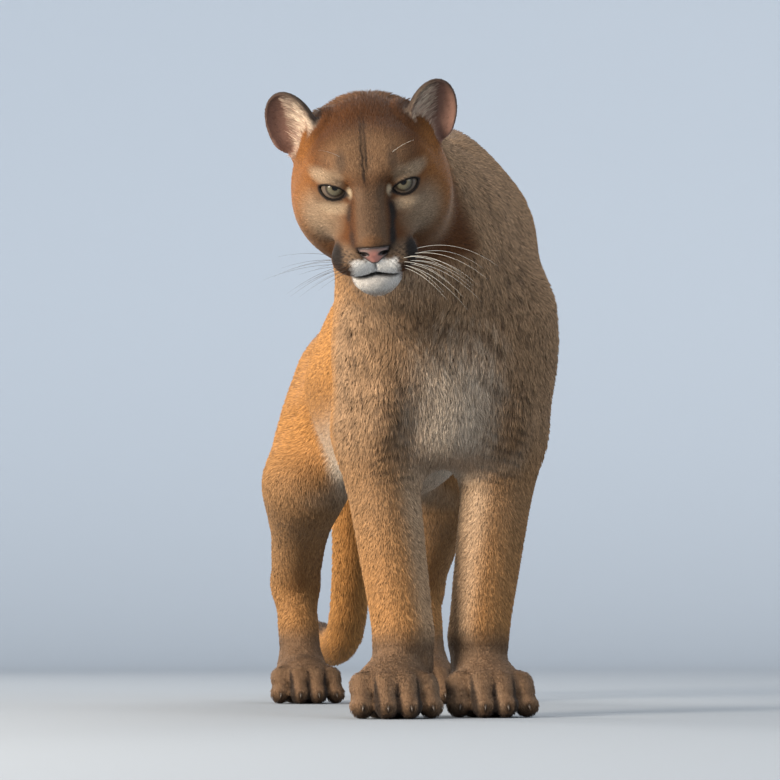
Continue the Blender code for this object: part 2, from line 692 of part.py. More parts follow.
def main():
    for old in list(bpy.data.objects):
        bpy.data.objects.remove(old)
    coat = material("short_coat", (0.42, 0.25, 0.12), 0.9)
    leather = material("nose_leather", (0.32, 0.13, 0.10), 0.5)
    eye_finish = material("eye", (0.30, 0.27, 0.14), 0.1)
    neck_cut = head_parts(coat, leather, eye_finish)

    points, faces = surface_net(body, (-0.29, -0.72, -0.02), (0.19, 0.96, 0.78), BODY_CELL)
    whole = thinned(mesh_object("whole", points, faces), BODY_TRIANGLES)
    shoulder_cut = ((0.0, -0.325, 0.54), (0.0, -0.952, 0.306))
    tail_cut = ((0.0, 0.505, 0.0), (0.0, 1.0, 0.0))
    finished(clipped(whole, "neck", (opposite(neck_cut), opposite(shoulder_cut),
                                     ((0.0, 0.0, 0.36), (0.0, 0.0, -1.0)))), coat)
    torso = clipped(whole, "torso", (shoulder_cut, tail_cut))
    floor = ((0.0, 0.0, 0.0), (0.0, 0.0, -1.0))
    for side in SIDES:
        fore, hind = leg_planes(side)
        for planes in (fore, hind):
            torso = combine(torso, block(planes, GAP / 2), "DIFFERENCE")
        wrist = ((0.0, 0.0, WRIST_CUT), (0.0, 0.0, -1.0))
        knee = ((0.0, 0.330, 0.285), (0.0, 0.30, -0.95))
        hock = ((0.0, 0.460, 0.150), (0.0, 0.20, -0.98))
        finished(clipped(whole, f"foreleg_{side}", (*fore, wrist)), coat)
        finished(clipped(whole, f"thigh_{side}", (*hind, knee)), coat)
        finished(clipped(whole, f"shank_{side}", (*hind, opposite(knee), hock)), coat)
        sign = SIDES[side]
        for name, place, top, middle in (("forepaw", feet(side)[0], wrist, FORE_PAW_SHIFT),
                                         ("hind_foot", feet(side)[1], hock, 0.0)):
            centre = np.array((place[0], place[1], 0.07))
            reach = np.array((0.080, 0.170, 0.160))
            ends = ((np.array(top[0]) - 0.010 * np.array(top[1]), -np.array(top[1])),
                    ((middle + 0.001 * sign, 0.0, 0.0), (-sign, 0.0, 0.0)))
            points, faces = surface_net(within(body, ends), centre - reach, centre + reach, PAW_CELL)
            foot = thinned(mesh_object("foot", points, faces), PAW_TRIANGLES)
            finished(clipped(foot, f"{name}_{side}", (opposite(top), floor)), coat)
            bpy.data.objects.remove(foot)
    finished(torso, coat)
    torso.name = "torso"
    line = [Vector(point) for point in TAIL_LINE]
    upper = (line[3], line[4] - line[2])
    lower = (line[5], line[6] - line[4])
    narrow = ((0.055, 0.0, 0.0), (1.0, 0.0, 0.0)), ((-0.050, 0.0, 0.0), (-1.0, 0.0, 0.0))
    finished(clipped(whole, "tail_base", (opposite(tail_cut), upper, *narrow)), coat)
    finished(clipped(whole, "tail_middle", (opposite(upper), lower, opposite(tail_cut), *narrow)), coat)
    finished(clipped(whole, "tail_tip", (opposite(lower), opposite(tail_cut), *narrow)), coat)
    bpy.data.objects.remove(whole)
    settle_on_floor()


def settle_on_floor():
    """Moves everything so that the middle of the underside of the whole is the origin."""
    parts = list(bpy.data.objects)
    corners = np.concatenate([np.array([vertex.co for vertex in part.data.vertices])
                              for part in parts])
    low, high = corners.min(0), corners.max(0)
    shift = Matrix.Translation((-(low[0] + high[0]) / 2, -(low[1] + high[1]) / 2, -low[2]))
    for part in parts:
        part.data.transform(shift)


main()
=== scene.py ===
"""The looks of a standing cougar: its skin, short coat, eyes, nose, claws and whiskers, around
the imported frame, and the studio it is shown in.

The skin is the surface of the same form as the CAD solids, moved inwards by the depth of the
coat. The coat is many thin closed spikes over the skin, which lie along the body. Lengths are
in metres.
"""

import math

import bpy
import numpy as np
from mathutils import Matrix, Vector


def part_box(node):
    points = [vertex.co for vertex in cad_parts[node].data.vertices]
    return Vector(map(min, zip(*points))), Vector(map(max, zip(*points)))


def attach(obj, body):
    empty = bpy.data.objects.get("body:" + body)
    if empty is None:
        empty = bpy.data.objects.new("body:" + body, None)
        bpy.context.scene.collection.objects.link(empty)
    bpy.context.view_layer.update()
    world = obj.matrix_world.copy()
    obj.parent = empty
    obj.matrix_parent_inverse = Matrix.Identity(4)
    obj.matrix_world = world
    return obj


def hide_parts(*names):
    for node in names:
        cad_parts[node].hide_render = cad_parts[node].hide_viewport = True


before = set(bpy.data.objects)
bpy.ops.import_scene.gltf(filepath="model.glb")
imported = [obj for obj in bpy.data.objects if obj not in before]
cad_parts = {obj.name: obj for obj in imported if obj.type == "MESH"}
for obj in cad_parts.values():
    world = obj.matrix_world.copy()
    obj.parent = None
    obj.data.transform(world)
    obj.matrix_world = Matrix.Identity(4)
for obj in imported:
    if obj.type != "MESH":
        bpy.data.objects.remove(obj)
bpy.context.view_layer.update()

bl_info = {
    "name": "Cougar looks",
    "version": (1, 0, 0),
    "blender": (4, 5, 0),
    "location": "3D View > Sidebar > Cougar",
    "description": "Skin, coat, eyes, nose, claws, whiskers and studio of a standing cougar",
    "category": "Object",
}

# Driving dimensions of the standing animal
CHEST_HALF_WIDTH = 0.093
CHEST_LEAN = 0.007
SIDES = {"left": 1.0, "right": -1.0}

# The barrel of the trunk: y, middle height, half height, half width
TRUNK = (
    (-0.325, 0.500, 0.100, 0.068),
    (-0.270, 0.497, 0.165, 0.090),
    (-0.180, 0.495, 0.184, CHEST_HALF_WIDTH),
    (-0.060, 0.482, 0.166, 0.106),
    (0.080, 0.466, 0.144, 0.107),
    (0.200, 0.448, 0.124, 0.094),
    (0.310, 0.438, 0.106, 0.079),
    (0.400, 0.430, 0.092, 0.066),
    (0.450, 0.427, 0.076, 0.056),
)
TRUNK_ROUND_END = 0.035
BELLY = (0.0, 0.090, 0.345)
BELLY_SIZE = (0.072, 0.220, 0.080)
TRUNK_TAPER = 0.55

# Joints of the left limbs. The right ones mirror them, shifted by the stance.
SHOULDER = (0.076, -0.300, 0.475)
ELBOW = (0.079, -0.221, 0.335)
WRIST = (0.0475, -0.275, 0.100)
FORE_PAW = (0.059, -0.305, 0.0)
HIP = (0.037, 0.395, 0.440)
KNEE = (0.094, 0.284, 0.292)
HOCK = (0.084, 0.472, 0.165)
HIND_TOES = (0.082, 0.392, 0.0)
FORE_STEP = {"left": 0.018, "right": -0.018}
FORE_PAW_SHIFT = -0.008
HIND_STEP = {"left": -0.020, "right": 0.020}

# Where the head is, and how far it turns, nods and tilts
HEAD_TURN = math.radians(-7.0)
HEAD_NOD = math.radians(31.0)
HEAD_TILT = math.radians(-5.5)
EYES_MIDDLE = (-0.1240, -0.5585, 0.5934)

# The head in its own frame
EYE = (0.0380, -0.042, 0.030)
EYE_RADIUS = 0.0165
LID = 0.0026
LID_TILT = 14.0
LID_HALF_LENGTH = 0.0150
LID_RISE = (0.0080, 0.0086)
NOSE = (0.0, -0.112, -0.0215)
NOSE_SIZE = (0.0190, 0.0145, 0.0145)
NOSTRIL = ((0.0068, -0.1180, -0.0212), (0.0138, -0.1072, -0.0190))
LIP_DEPTH = 0.0035
LIP_GAP = 0.0024
MOUTH_CORNER = -0.050
EAR_ROOT = (0.0715, 0.045, 0.048)
EARS_SHIFT = -0.0040
EAR_UP = (0.34, 0.14, 1.0)
EAR_FRONT = (0.30, -0.95, 0.10)
EAR_SIZE = (0.0300, 0.0170, 0.0455)

# The tail's middle line from its root, and its radius there
TAIL_LINE = (
    (0.000, 0.440, 0.470),
    (0.000, 0.515, 0.455),
    (0.003, 0.572, 0.390),
    (0.008, 0.610, 0.295),
    (0.014, 0.655, 0.190),
    (0.016, 0.722, 0.102),
    (0.008, 0.806, 0.070),
    (-0.004, 0.888, 0.088),
)
TAIL_RADII = (0.040, 0.037, 0.031, 0.029, 0.028, 0.028, 0.027, 0.023)
TAIL_LENGTHS = 15


def ellipsoid(points, centre, radii, turn=(0.0, 0.0, 0.0)):
    """Distance to an ellipsoid whose axes are turned by angles about x, y and z."""
    axes = np.array(Matrix.Rotation(turn[2], 3, "Z") @ Matrix.Rotation(turn[1], 3, "Y")
                    @ Matrix.Rotation(turn[0], 3, "X"))
    local = (points - np.array(centre)) @ axes
    radii = np.array(radii)
    near = np.linalg.norm(local / radii, axis=1)
    slope = np.linalg.norm(local / radii**2, axis=1)
    return near * (near - 1.0) / np.maximum(slope, 1e-6)


def bone(points, start, end, start_radius, end_radius, wide=1.0):
    """Distance to a tapered rod with round ends, stretched sideways by the factor wide."""
    start, end = np.array(start, float), np.array(end, float)
    along = end - start
    share = np.clip((points - start) @ along / (along @ along), 0.0, 1.0)
    off = points - start - share[:, None] * along
    off[:, 0] /= wide
    return np.linalg.norm(off, axis=1) - (start_radius + (end_radius - start_radius) * share)


def chain(points, joints, radii, wide=1.0):
    """Distance to rods joined end to end."""
    rods = [bone(points, *pair, wide) for pair in
            ((joints[i], joints[i + 1], radii[i], radii[i + 1]) for i in range(len(radii) - 1))]
    return np.min(rods, axis=0)


def smooth_line(at, places, values):
    """A curve through the values at the places, with no corner between them."""
    slopes = np.gradient(values, places)
    cell = np.clip(np.searchsorted(places, at) - 1, 0, len(places) - 2)
    width = places[cell + 1] - places[cell]
    t = np.clip((at - places[cell]) / width, 0.0, 1.0)
    return ((1 + 2 * t) * (1 - t) ** 2 * values[cell] + t * (1 - t) ** 2 * width * slopes[cell]
            + t**2 * (3 - 2 * t) * values[cell + 1] + t**2 * (t - 1) * width * slopes[cell + 1])


def lean(y):
    """How far the middle of the chest stands to the left of the stance, none behind the ribs."""
    return CHEST_LEAN * np.clip((0.05 - y) / 0.25, 0.0, 1.0)


def feet(side):
    """The middle of the forefoot and of the hind foot of one side, and their sizes."""
    sign = SIDES[side]
    return ((FORE_PAW[0] * sign + FORE_PAW_SHIFT, FORE_PAW[1] + FORE_STEP[side], 1.04),
            (HIND_TOES[0] * sign, HIND_TOES[1] + HIND_STEP[side], 0.96))


def trunk(points):
    """Distance to the barrel of the ribs, loins and hips, rounded off at both ends."""
    table = np.array(TRUNK)
    y = points[:, 1]
    middle, half_height, half_width = (
        smooth_line(y, table[:, 0], table[:, column]) for column in (1, 2, 3))
    beyond = np.maximum(np.maximum(table[0, 0] - y, y - table[-1, 0]), 0.0)
    up = (points[:, 2] - middle) / half_height
    half_width = half_width * (1.0 - TRUNK_TAPER * np.clip(up, -0.35, 0.80))
    across, up = np.abs(points[:, 0] - lean(y)) / half_width, np.abs(up)
    section = (across**2.25 + up**2.25) ** (1 / 2.25)
    radius = np.sqrt(section**2 + (beyond / TRUNK_ROUND_END) ** 2)
    return (radius - 1.0) * np.minimum(half_width, half_height) * 0.9


def blend(first, second, reach):
    """Joins two distances with a fillet of about the reach."""
    share = np.clip(0.5 + 0.5 * (second - first) / reach, 0.0, 1.0)
    return second + (first - second) * share - reach * share * (1.0 - share)


def carve(solid, cutter, reach):
    """Takes the cutter from the solid and rounds the edge by about the reach."""
    return -blend(-solid, cutter, reach)


def tail(points):
    """The tail, a curve through its points with the radius changing evenly between them."""
    given = np.arange(len(TAIL_LINE), dtype=float)
    at = np.linspace(0.0, given[-1], TAIL_LENGTHS + 1)
    line = np.column_stack([smooth_line(at, given, np.array(TAIL_LINE)[:, axis]) for axis in range(3)])
    return chain(points, line, np.interp(at, given, TAIL_RADII))


def mirrored(point, side, step=0.0):
    """A left limb's point on either side of the animal, moved along the stride."""
    return (point[0] * SIDES[side], point[1] + step, point[2])


def paw(points, foot, heel):
    """A broad foot with four toes in an arc, knuckles raised and tips set on the ground."""
    x, y, size = foot
    pad = ellipsoid(points, (x, y - 0.006 * size, 0.030 * size),
                    (0.045 * size, 0.046 * size, 0.032 * size))
    pad = blend(pad, bone(points, heel, (x, y, 0.034), 0.031 * size, 0.030 * size), 0.02)
    for place in (-1.5, -0.5, 0.5, 1.5):
        spread = abs(place) - 0.5
        across = x + place * 0.0236 * size
        knuckle = (across * 0.97 + x * 0.03, y - (0.036 - 0.011 * spread) * size, 0.037 * size)
        tip = (across + place * 0.002, y - (0.062 - 0.014 * spread) * size, 0.0138 * size)
        pad = blend(pad, bone(points, knuckle, tip, 0.0162 * size, 0.0146 * size), 0.0075)
    return pad


def foreleg(points, side):
    """Shoulder blade, upper arm, forearm and paw of one side."""
    step = FORE_STEP[side]
    sign = SIDES[side]
    shoulder, elbow = mirrored(SHOULDER, side, step * 0.4), mirrored(ELBOW, side, step * 0.6)
    wrist = mirrored(WRIST, side, step)
    shoulder, elbow = ((joint[0] + CHEST_LEAN, *joint[1:]) for joint in (shoulder, elbow))
    blade = ellipsoid(points, (0.047 * sign + CHEST_LEAN, -0.215 + step * 0.3, 0.545),
                      (0.039, 0.080, 0.146), (math.radians(-16), math.radians(-14) * sign, 0.0))
    arm = ellipsoid(points, (0.077 * sign + CHEST_LEAN, -0.255 + step * 0.5, 0.415),
                    (0.0365, 0.068, 0.108),
                    (math.radians(-24), 0.0, 0.0))
    limb = blend(blade, arm, 0.05)
    limb = blend(limb, bone(points, shoulder, elbow, 0.046, 0.042), 0.04)
    limb = blend(limb, bone(points, elbow, wrist, 0.0475, 0.0370, 0.98), 0.04)
    limb = blend(limb, bone(points, (elbow[0], elbow[1] + 0.022, elbow[2] + 0.012),
                            (elbow[0], elbow[1] + 0.004, elbow[2] - 0.06), 0.022, 0.020), 0.03)
    heel = (wrist[0], wrist[1] + 0.006, wrist[2] - 0.02)
    foot = paw(points, feet(side)[0], heel)
    foot = blend(foot, ellipsoid(points, (wrist[0] - 0.024 * sign, wrist[1] - 0.012, 0.062),
                                 (0.010, 0.015, 0.019)), 0.012)
    return blend(limb, foot, 0.016)


def hindleg(points, side):
    """Thigh, shank, hock and foot of one side."""
    step = HIND_STEP[side]
    sign = SIDES[side]
    hip, knee = mirrored(HIP, side, step * 0.3), mirrored(KNEE, side, step * 0.6)
    hock, toes = mirrored(HOCK, side, step), mirrored(HIND_TOES, side, step)
    thigh = ellipsoid(points, (0.073 * sign, 0.350 + step * 0.5, 0.345), (0.048, 0.090, 0.118),
                      (math.radians(30), math.radians(-18) * sign, 0.0))
    rump = ellipsoid(points, (0.037 * sign, 0.425, 0.410), (0.044, 0.070, 0.098),
                     (math.radians(12), 0.0, 0.0))
    limb = blend(thigh, rump, 0.05)
    limb = blend(limb, bone(points, hip, knee, 0.047, 0.046), 0.05)
    calf = (0.090 * sign, 0.385 + step, 0.250)
    limb = blend(limb, bone(points, knee, hock, 0.050, 0.026), 0.035)
    limb = blend(limb, bone(points, (calf[0], calf[1] + 0.012, calf[2] + 0.03), hock,
                            0.038, 0.024), 0.03)
    limb = blend(limb, bone(points, (hock[0], hock[1] + 0.012, hock[2]),
                            (toes[0], toes[1] + 0.028, 0.045), 0.0285, 0.028), 0.022)
    foot = paw(points, feet(side)[1], (toes[0], toes[1] + 0.03, 0.046))
    return blend(limb, foot, 0.016)


def head_axes():
    """The head's three axes as columns, and its place in the world."""
    axes = np.array(Matrix.Rotation(HEAD_TURN, 3, "Z") @ Matrix.Rotation(HEAD_NOD, 3, "X")
                    @ Matrix.Rotation(HEAD_TILT, 3, "Y"))
    between_eyes = np.array((0.0, EYE[1], EYE[2]))
    return axes, np.array(EYES_MIDDLE) - axes @ between_eyes


def to_head(points):
    """World points in the head's frame."""
    axes, place = head_axes()
    return (points - place) @ axes


def from_head(local):
    """A point of the head's frame in the world."""
    axes, place = head_axes()
    return place + axes @ np.array(local)


def neck(points):
    """The neck, bent from the shoulders to the back of the head, and the throat."""
    nape = from_head((0.0, 0.074, 0.020))
    throat = from_head((0.0, 0.034, -0.036))
    form = chain(points, ((CHEST_LEAN, -0.190, 0.570), (-0.037, -0.330, 0.580), nape),
                 (0.111, 0.092, 0.068), 1.10)
    form = blend(form, chain(points, ((CHEST_LEAN, -0.250, 0.480), (-0.040, -0.360, 0.520), throat),
                             (0.100, 0.086, 0.060)), 0.06)
    breast = ellipsoid(points, (CHEST_LEAN, -0.262, 0.400), (0.075, 0.074, 0.104),
                       (math.radians(-14), 0.0, 0.0))
    return blend(form, breast, 0.09)


def jaws(local):
    """The head's masses in its own frame, as two forms: all down to the upper lip, and the
    lower jaw with the chin."""
    half = np.column_stack([np.abs(local[:, 0]), local[:, 1], local[:, 2]])
    upper = ellipsoid(half, (0.0, 0.024, 0.020), (0.073, 0.088, 0.066))
    upper = blend(upper, ellipsoid(half, (0.050, 0.010, -0.008), (0.040, 0.056, 0.051)), 0.03)
    upper = blend(upper, ellipsoid(half, (0.020, -0.020, 0.048), (0.042, 0.040, 0.030)), 0.03)
    upper = blend(upper, bone(half, (0.0, -0.030, 0.026), (0.0, -0.100, -0.009), 0.034, 0.0185, 1.05),
                  0.02)
    upper = blend(upper, ellipsoid(half, (0.035, -0.040, 0.000), (0.022, 0.028, 0.022)), 0.02)
    upper = blend(upper, ellipsoid(half, (0.0, -0.066, -0.030), (0.041, 0.040, 0.031)), 0.022)
    upper = blend(upper, ellipsoid(half, (0.0225, -0.0865, -0.0365), (0.0258, 0.0250, 0.0192)), 0.013)
    lower = bone(half, (0.0, -0.072, -0.064), (0.038, 0.012, -0.041), 0.0165, 0.029)
    lower = blend(lower, ellipsoid(half, (0.0, 0.020, -0.040), (0.054, 0.060, 0.038)), 0.03)
    lower = blend(lower, ellipsoid(half, (0.0, -0.0765, -0.0632), (0.0290, 0.0258, 0.0205)), 0.012)
    return upper, lower


def skull(local):
    """Both jaws, blended behind the corner of the mouth and meeting in a crease before it."""
    upper, lower = jaws(local)
    behind = np.clip((local[:, 1] - MOUTH_CORNER) / 0.020, 0.0, 1.0)
    return blend(upper, lower, 0.0015 + 0.020 * behind)


def nose_form(local):
    """The nose leather: a broad top, wings at each side and a narrow foot."""
    half = np.column_stack([np.abs(local[:, 0]), local[:, 1], local[:, 2]])
    form = ellipsoid(half, (0.0, -0.1065, -0.0190), (0.0135, 0.0105, 0.0085))
    form = blend(form, ellipsoid(half, (0.0102, -0.1035, -0.0190), (0.0072, 0.0090, 0.0068)), 0.004)
    return blend(form, ellipsoid(half, (0.0, -0.1060, -0.0275), (0.0055, 0.0080, 0.0080)), 0.005)


def head_details(form, local):
    """Adds the nose and lids and carves the nostrils, mouth and groove under the nose."""
    x, y, z = np.abs(local[:, 0]), local[:, 1], local[:, 2]
    half = np.column_stack([x, y, z])
    form = carve(form, ellipsoid(half, (0.0390, -0.072, 0.031), (0.022, 0.020, 0.015)), 0.012)
    form = blend(form, ellipsoid(half, EYE, (EYE_RADIUS + LID,) * 3), 0.006)
    form = blend(form, nose_form(local), 0.003)
    form = carve(form, bone(half, *NOSTRIL, 0.0021, 0.0027), 0.0015)
    upper, lower = jaws(local)
    lips = np.maximum(np.abs(upper - lower) - LIP_GAP, y - MOUTH_CORNER - 0.006)
    form = carve(form, np.maximum(lips, -(form + LIP_DEPTH)), 0.0015)
    groove = np.maximum(np.maximum(x - 0.5 * (form + 0.004), np.abs(z + 0.038) - 0.005), y + 0.094)
    return carve(form, groove, 0.0020)


def gaze(side):
    """Where an eye looks in the head's frame, and the long and short axes of its lids."""
    sign = SIDES[side]
    look = Vector((0.20 * sign, -0.95, 0.15)).normalized()
    out = (Vector((0.0, 0.0, 1.0)).cross(look) * sign).normalized()
    up = look.cross(out) * sign
    turn = math.radians(LID_TILT)
    return look, math.cos(turn) * out + math.sin(turn) * up, math.cos(turn) * up - math.sin(turn) * out


def body(points):
    """The whole form without the fine work of the head."""
    form = blend(trunk(points), neck(points), 0.05)
    form = blend(form, ellipsoid(points, BELLY, BELLY_SIZE), 0.06)
    for side in SIDES:
        reach = np.interp(points[:, 2], (0.10, 0.30), (0.006, 0.045))
        form = blend(form, foreleg(points, side), reach)
        form = blend(form, hindleg(points, side), 0.045)
    form = blend(form, tail(points), 0.03)
    return blend(form, skull(to_head(points)), 0.035)


def head(points):
    """The whole form with the head's fine work."""
    local = to_head(points)
    form = head_details(body(points), local)
    for side in SIDES:
        form = blend(form, ear_form(local, side), 0.008)
    return form


def ear_form(local, side):
    """A cup with a thin rim, hollowed from the front."""
    sign = SIDES[side]
    up = np.array((EAR_UP[0] * sign, EAR_UP[1], EAR_UP[2]))
    up /= np.linalg.norm(up)
    front = np.array((EAR_FRONT[0] * sign, EAR_FRONT[1], EAR_FRONT[2]))
    front -= (front @ up) * up
    front /= np.linalg.norm(front)
    off = local - np.array((EAR_ROOT[0] * sign + EARS_SHIFT, EAR_ROOT[1], EAR_ROOT[2]))
    own = off @ np.column_stack([np.cross(front, up), front, up])
    wide, deep, high = EAR_SIZE
    shell = ellipsoid(own, (0.0, 0.0, high * 0.42), (wide, deep, high))
    hollow = ellipsoid(own, (0.0, deep * 0.62, high * 0.50), (wide * 0.84, deep * 1.30, high * 0.88))
    return carve(shell, hollow, 0.003)


def within(field, planes):
    """A field that ends at each plane (point, normal out)."""
    def limited(points):
        ends = [(points - np.array(point)) @ (np.array(normal) / np.linalg.norm(normal))
                for point, normal in planes]
        return np.maximum(field(points), np.max(ends, axis=0))
    return limited


def surface_net(field, low, high, cell):
    """Vertices and quads of the surface where the field is nought.

    The box is divided into blocks of cells, and only the blocks near the surface are worked
    out. Each cell that the surface crosses gets one vertex, the mean of the crossings on its
    edges, and each crossed edge joins the vertices of its four cells by a quad.
    """
    block = 4
    low = np.array(low)
    counts = np.ceil((np.array(high) - low) / (cell * block)).astype(int)
    corners = np.indices(counts + 1).reshape(3, -1).T * block
    rough = np.abs(field(low + corners * cell)).reshape(counts + 1)
    nearest = np.min([rough[i:i - 1 or None, j:j - 1 or None, k:k - 1 or None]
                      for i in (0, 1) for j in (0, 1) for k in (0, 1)], axis=0)
    starts = np.argwhere(nearest < 1.25 * block * cell) * block
    inner = np.indices((block,) * 3).reshape(3, -1).T
    cells = (starts[:, None] + inner).reshape(-1, 3)
    span = counts.max() * block + 2
    weights = np.array((span * span, span, 1))
    cell_keys = np.sort(cells @ weights)
    unit = np.eye(3, dtype=int)
    grid_keys = np.unique(np.concatenate([cell_keys + (np.array((i, j, k)) @ weights)
                                          for i in (0, 1) for j in (0, 1) for k in (0, 1)]))
    grid = np.column_stack([grid_keys // weights[0], grid_keys // span % span, grid_keys % span])
    values = np.concatenate([field(low + part * cell)
                             for part in np.array_split(grid, 1 + len(grid) // 200000)])
    values = without_pinches(values, grid_keys, weights, cell)
    totals = np.zeros((len(cell_keys), 3))
    hits = np.zeros(len(cell_keys))
    quads = []
    for axis in range(3):
        b, c = unit[(axis + 1) % 3], unit[(axis + 2) % 3]
        far = np.searchsorted(grid_keys, grid_keys + weights[axis])
        far = np.minimum(far, len(grid_keys) - 1)
        joined = grid_keys[far] == grid_keys + weights[axis]
        crossed = joined & ((values < 0) != (values[far] < 0))
        start, first, last = grid[crossed], values[crossed], values[far[crossed]]
        ring = np.stack([(start - i * b - j * c) @ weights
                         for i, j in ((1, 1), (0, 1), (0, 0), (1, 0))], axis=1)
        place = np.minimum(np.searchsorted(cell_keys, ring), len(cell_keys) - 1)
        whole = (cell_keys[place] == ring).all(axis=1)
        place, start, first, last = place[whole], start[whole], first[whole], last[whole]
        crossing = start + (first / (first - last))[:, None] * unit[axis]
        for corner in place.T:
            np.add.at(totals, corner, crossing)
            np.add.at(hits, corner, 1)
        quads.append(np.where((first < 0)[:, None], place, place[:, ::-1]))
    quads = np.concatenate(quads)
    used, quads = np.unique(quads, return_inverse=True)
    points = low + totals[used] / hits[used][:, None] * cell
    return points, quads.reshape(-1, 4)


def without_pinches(values, keys, weights, cell):
    """Fills the grid points where two parts of the surface would share an edge: those of a
    square whose inside and outside corners alternate."""
    for _ in range(12):
        filled = np.zeros(len(values), bool)
        for axis in range(3):
            first, second = weights[(axis + 1) % 3], weights[(axis + 2) % 3]
            square = np.stack([np.minimum(np.searchsorted(keys, keys + shift), len(keys) - 1)
                               for shift in (0, first, first + second, second)])
            wanted = keys + np.array((0, first, first + second, second))[:, None]
            whole = (keys[square] == wanted).all(axis=0)
            inside = values[square] < 0
            mixed = whole & (inside[0] == inside[2]) & (inside[1] == inside[3]) & (
                inside[0] != inside[1])
            chosen = square[:, mixed]
            filled[chosen[values[chosen] >= 0]] = True
        if not filled.any():
            break
        values = np.where(filled, -0.02 * cell, values)
    return values


def material(name, colour, roughness):
    """A plain painted finish."""
    made = bpy.data.materials.new(name)
    made.use_nodes = True
    shader = made.node_tree.nodes["Principled BSDF"]
    shader.inputs["Base Color"].default_value = (*colour, 1.0)
    shader.inputs["Roughness"].default_value = roughness
    return made


# How the coat lies and is coloured
FLESH = ("head", "ear_left", "ear_right", "neck", "torso", "foreleg_left", "foreleg_right",
         "forepaw_left", "forepaw_right", "thigh_left", "thigh_right", "shank_left",
         "shank_right", "hind_foot_left", "hind_foot_right", "tail_base", "tail_middle", "tail_tip")
NECK_CUT = (0.0, 0.058, 0.0)
NECK_CUT_NORMAL = (0.17, 0.98, 0.0)
OVERLAP = 0.010
FOOT_TOP = 0.088
TAIL_START = (0.0, 0.500, 0.460)
TAIL_AHEAD = (0.0, 1.0, 0.15)
HEAD_REACH = 0.165
FLOOR = 0.0010
TUFT_PATCH = 0.003
SEED = 20

# Depth of the coat over the skin, by region
DEEP = {"body": 0.0046, "chest": 0.0064, "leg": 0.0032, "foot": 0.0020, "tail": 0.0046,
        "head": 0.0030, "face": 0.0017, "muzzle": 0.0010, "ear": 0.0006, "lid": 0.0005}

# Each region's tufts: per square metre, length, width, and how far the tips stand off the skin
TUFTS = {
    "body": (205e3, 0.0090, 0.0013, 0.0040),
    "chest": (225e3, 0.0105, 0.0013, 0.0060),
    "leg": (238e3, 0.0072, 0.0012, 0.0030),
    "foot": (300e3, 0.0052, 0.0010, 0.0019),
    "tail": (190e3, 0.0110, 0.0014, 0.0046),
    "head": (600e3, 0.0056, 0.0008, 0.0024),
    "face": (860e3, 0.0036, 0.0007, 0.0013),
    "muzzle": (950e3, 0.0027, 0.0006, 0.0009),
    "ear_back": (420e3, 0.0045, 0.0009, 0.0008),
    "ear_inside": (340e3, 0.0150, 0.0009, 0.0044),
}

# Colours of the coat, linear
TAWNY = (0.400, 0.192, 0.060)
BACK = (0.235, 0.120, 0.062)
TICKED = (0.290, 0.182, 0.103)
PALE = (0.600, 0.505, 0.400)
LEG = (0.262, 0.150, 0.072)
LEG_INSIDE = (0.500, 0.385, 0.270)
FOOT = (0.120, 0.075, 0.046)
DARK = (0.040, 0.026, 0.019)
BLACK = (0.014, 0.011, 0.010)
CROWN = (0.098, 0.036, 0.010)
RUFOUS = (0.225, 0.088, 0.022)
CHEEK = (0.245, 0.170, 0.108)
CREAM = (0.540, 0.425, 0.285)
SMUDGE = (0.095, 0.060, 0.038)
BRIDGE = (0.112, 0.066, 0.038)
WHITE = (0.740, 0.720, 0.680)
EAR_SKIN = (0.200, 0.110, 0.082)

# How far the lids' edges stand above and below the middle of the eye
LIDS = (0.0064, 0.0094)

# The outline of the nose leather: heights in the head's frame and the half width at each
LEATHER = ((-0.0370, 0.0004), (-0.0335, 0.0032), (-0.0290, 0.0078), (-0.0235, 0.0130),
           (-0.0180, 0.0163), (-0.0140, 0.0165), (-0.0112, 0.0135))

eye_low, eye_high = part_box("eye_left")
OFFSET = (np.array(eye_low) + np.array(eye_high)) / 2 - from_head(EYE)


def smoothstep(low, high, value):
    """0 at low, 1 at high and a smooth rise between, or a fall where high is under low."""
    share = np.clip((value - low) / (high - low), 0.0, 1.0)
    return share * share * (3.0 - 2.0 * share)


def mix(first, second, share):
    """From first to second by the share. A share for each point also mixes colours."""
    first, second = np.asarray(first, float), np.asarray(second, float)
    if np.ndim(share) and (first.ndim == 2 or second.ndim == 1):
        share = np.asarray(share)[:, None]
    return first + (second - first) * share


def unit(vectors):
    """Vectors at length 1."""
    return vectors / np.maximum(np.linalg.norm(vectors, axis=-1, keepdims=True), 1e-9)


def ripple(points, wave, seed):
    """Smooth noise from -1 to 1: the mean of six sines of the place, with random directions
    and lengths of wave near the one given."""
    draw = np.random.default_rng(seed)
    way = unit(draw.normal(size=(6, 3))) * (2 * math.pi / (wave * draw.uniform(0.7, 1.5, (6, 1))))
    return np.clip(np.sin(points @ way.T + draw.uniform(0, 6.28, 6)).mean(1) * 1.6, -1, 1)


def spot(points, centre, radii, soft=0.35):
    """1 within an ellipsoid and 0 outside, with an edge soft for that share of its size."""
    near = np.linalg.norm((points - np.array(centre)) / np.array(radii), axis=1)
    return smoothstep(1 + soft, 1 - soft, near)


def streak(points, start, end, radius, soft=0.5):
    """1 within a rod between two points and 0 outside."""
    return smoothstep(radius * soft, -radius * soft, bone(points, start, end, radius, radius))


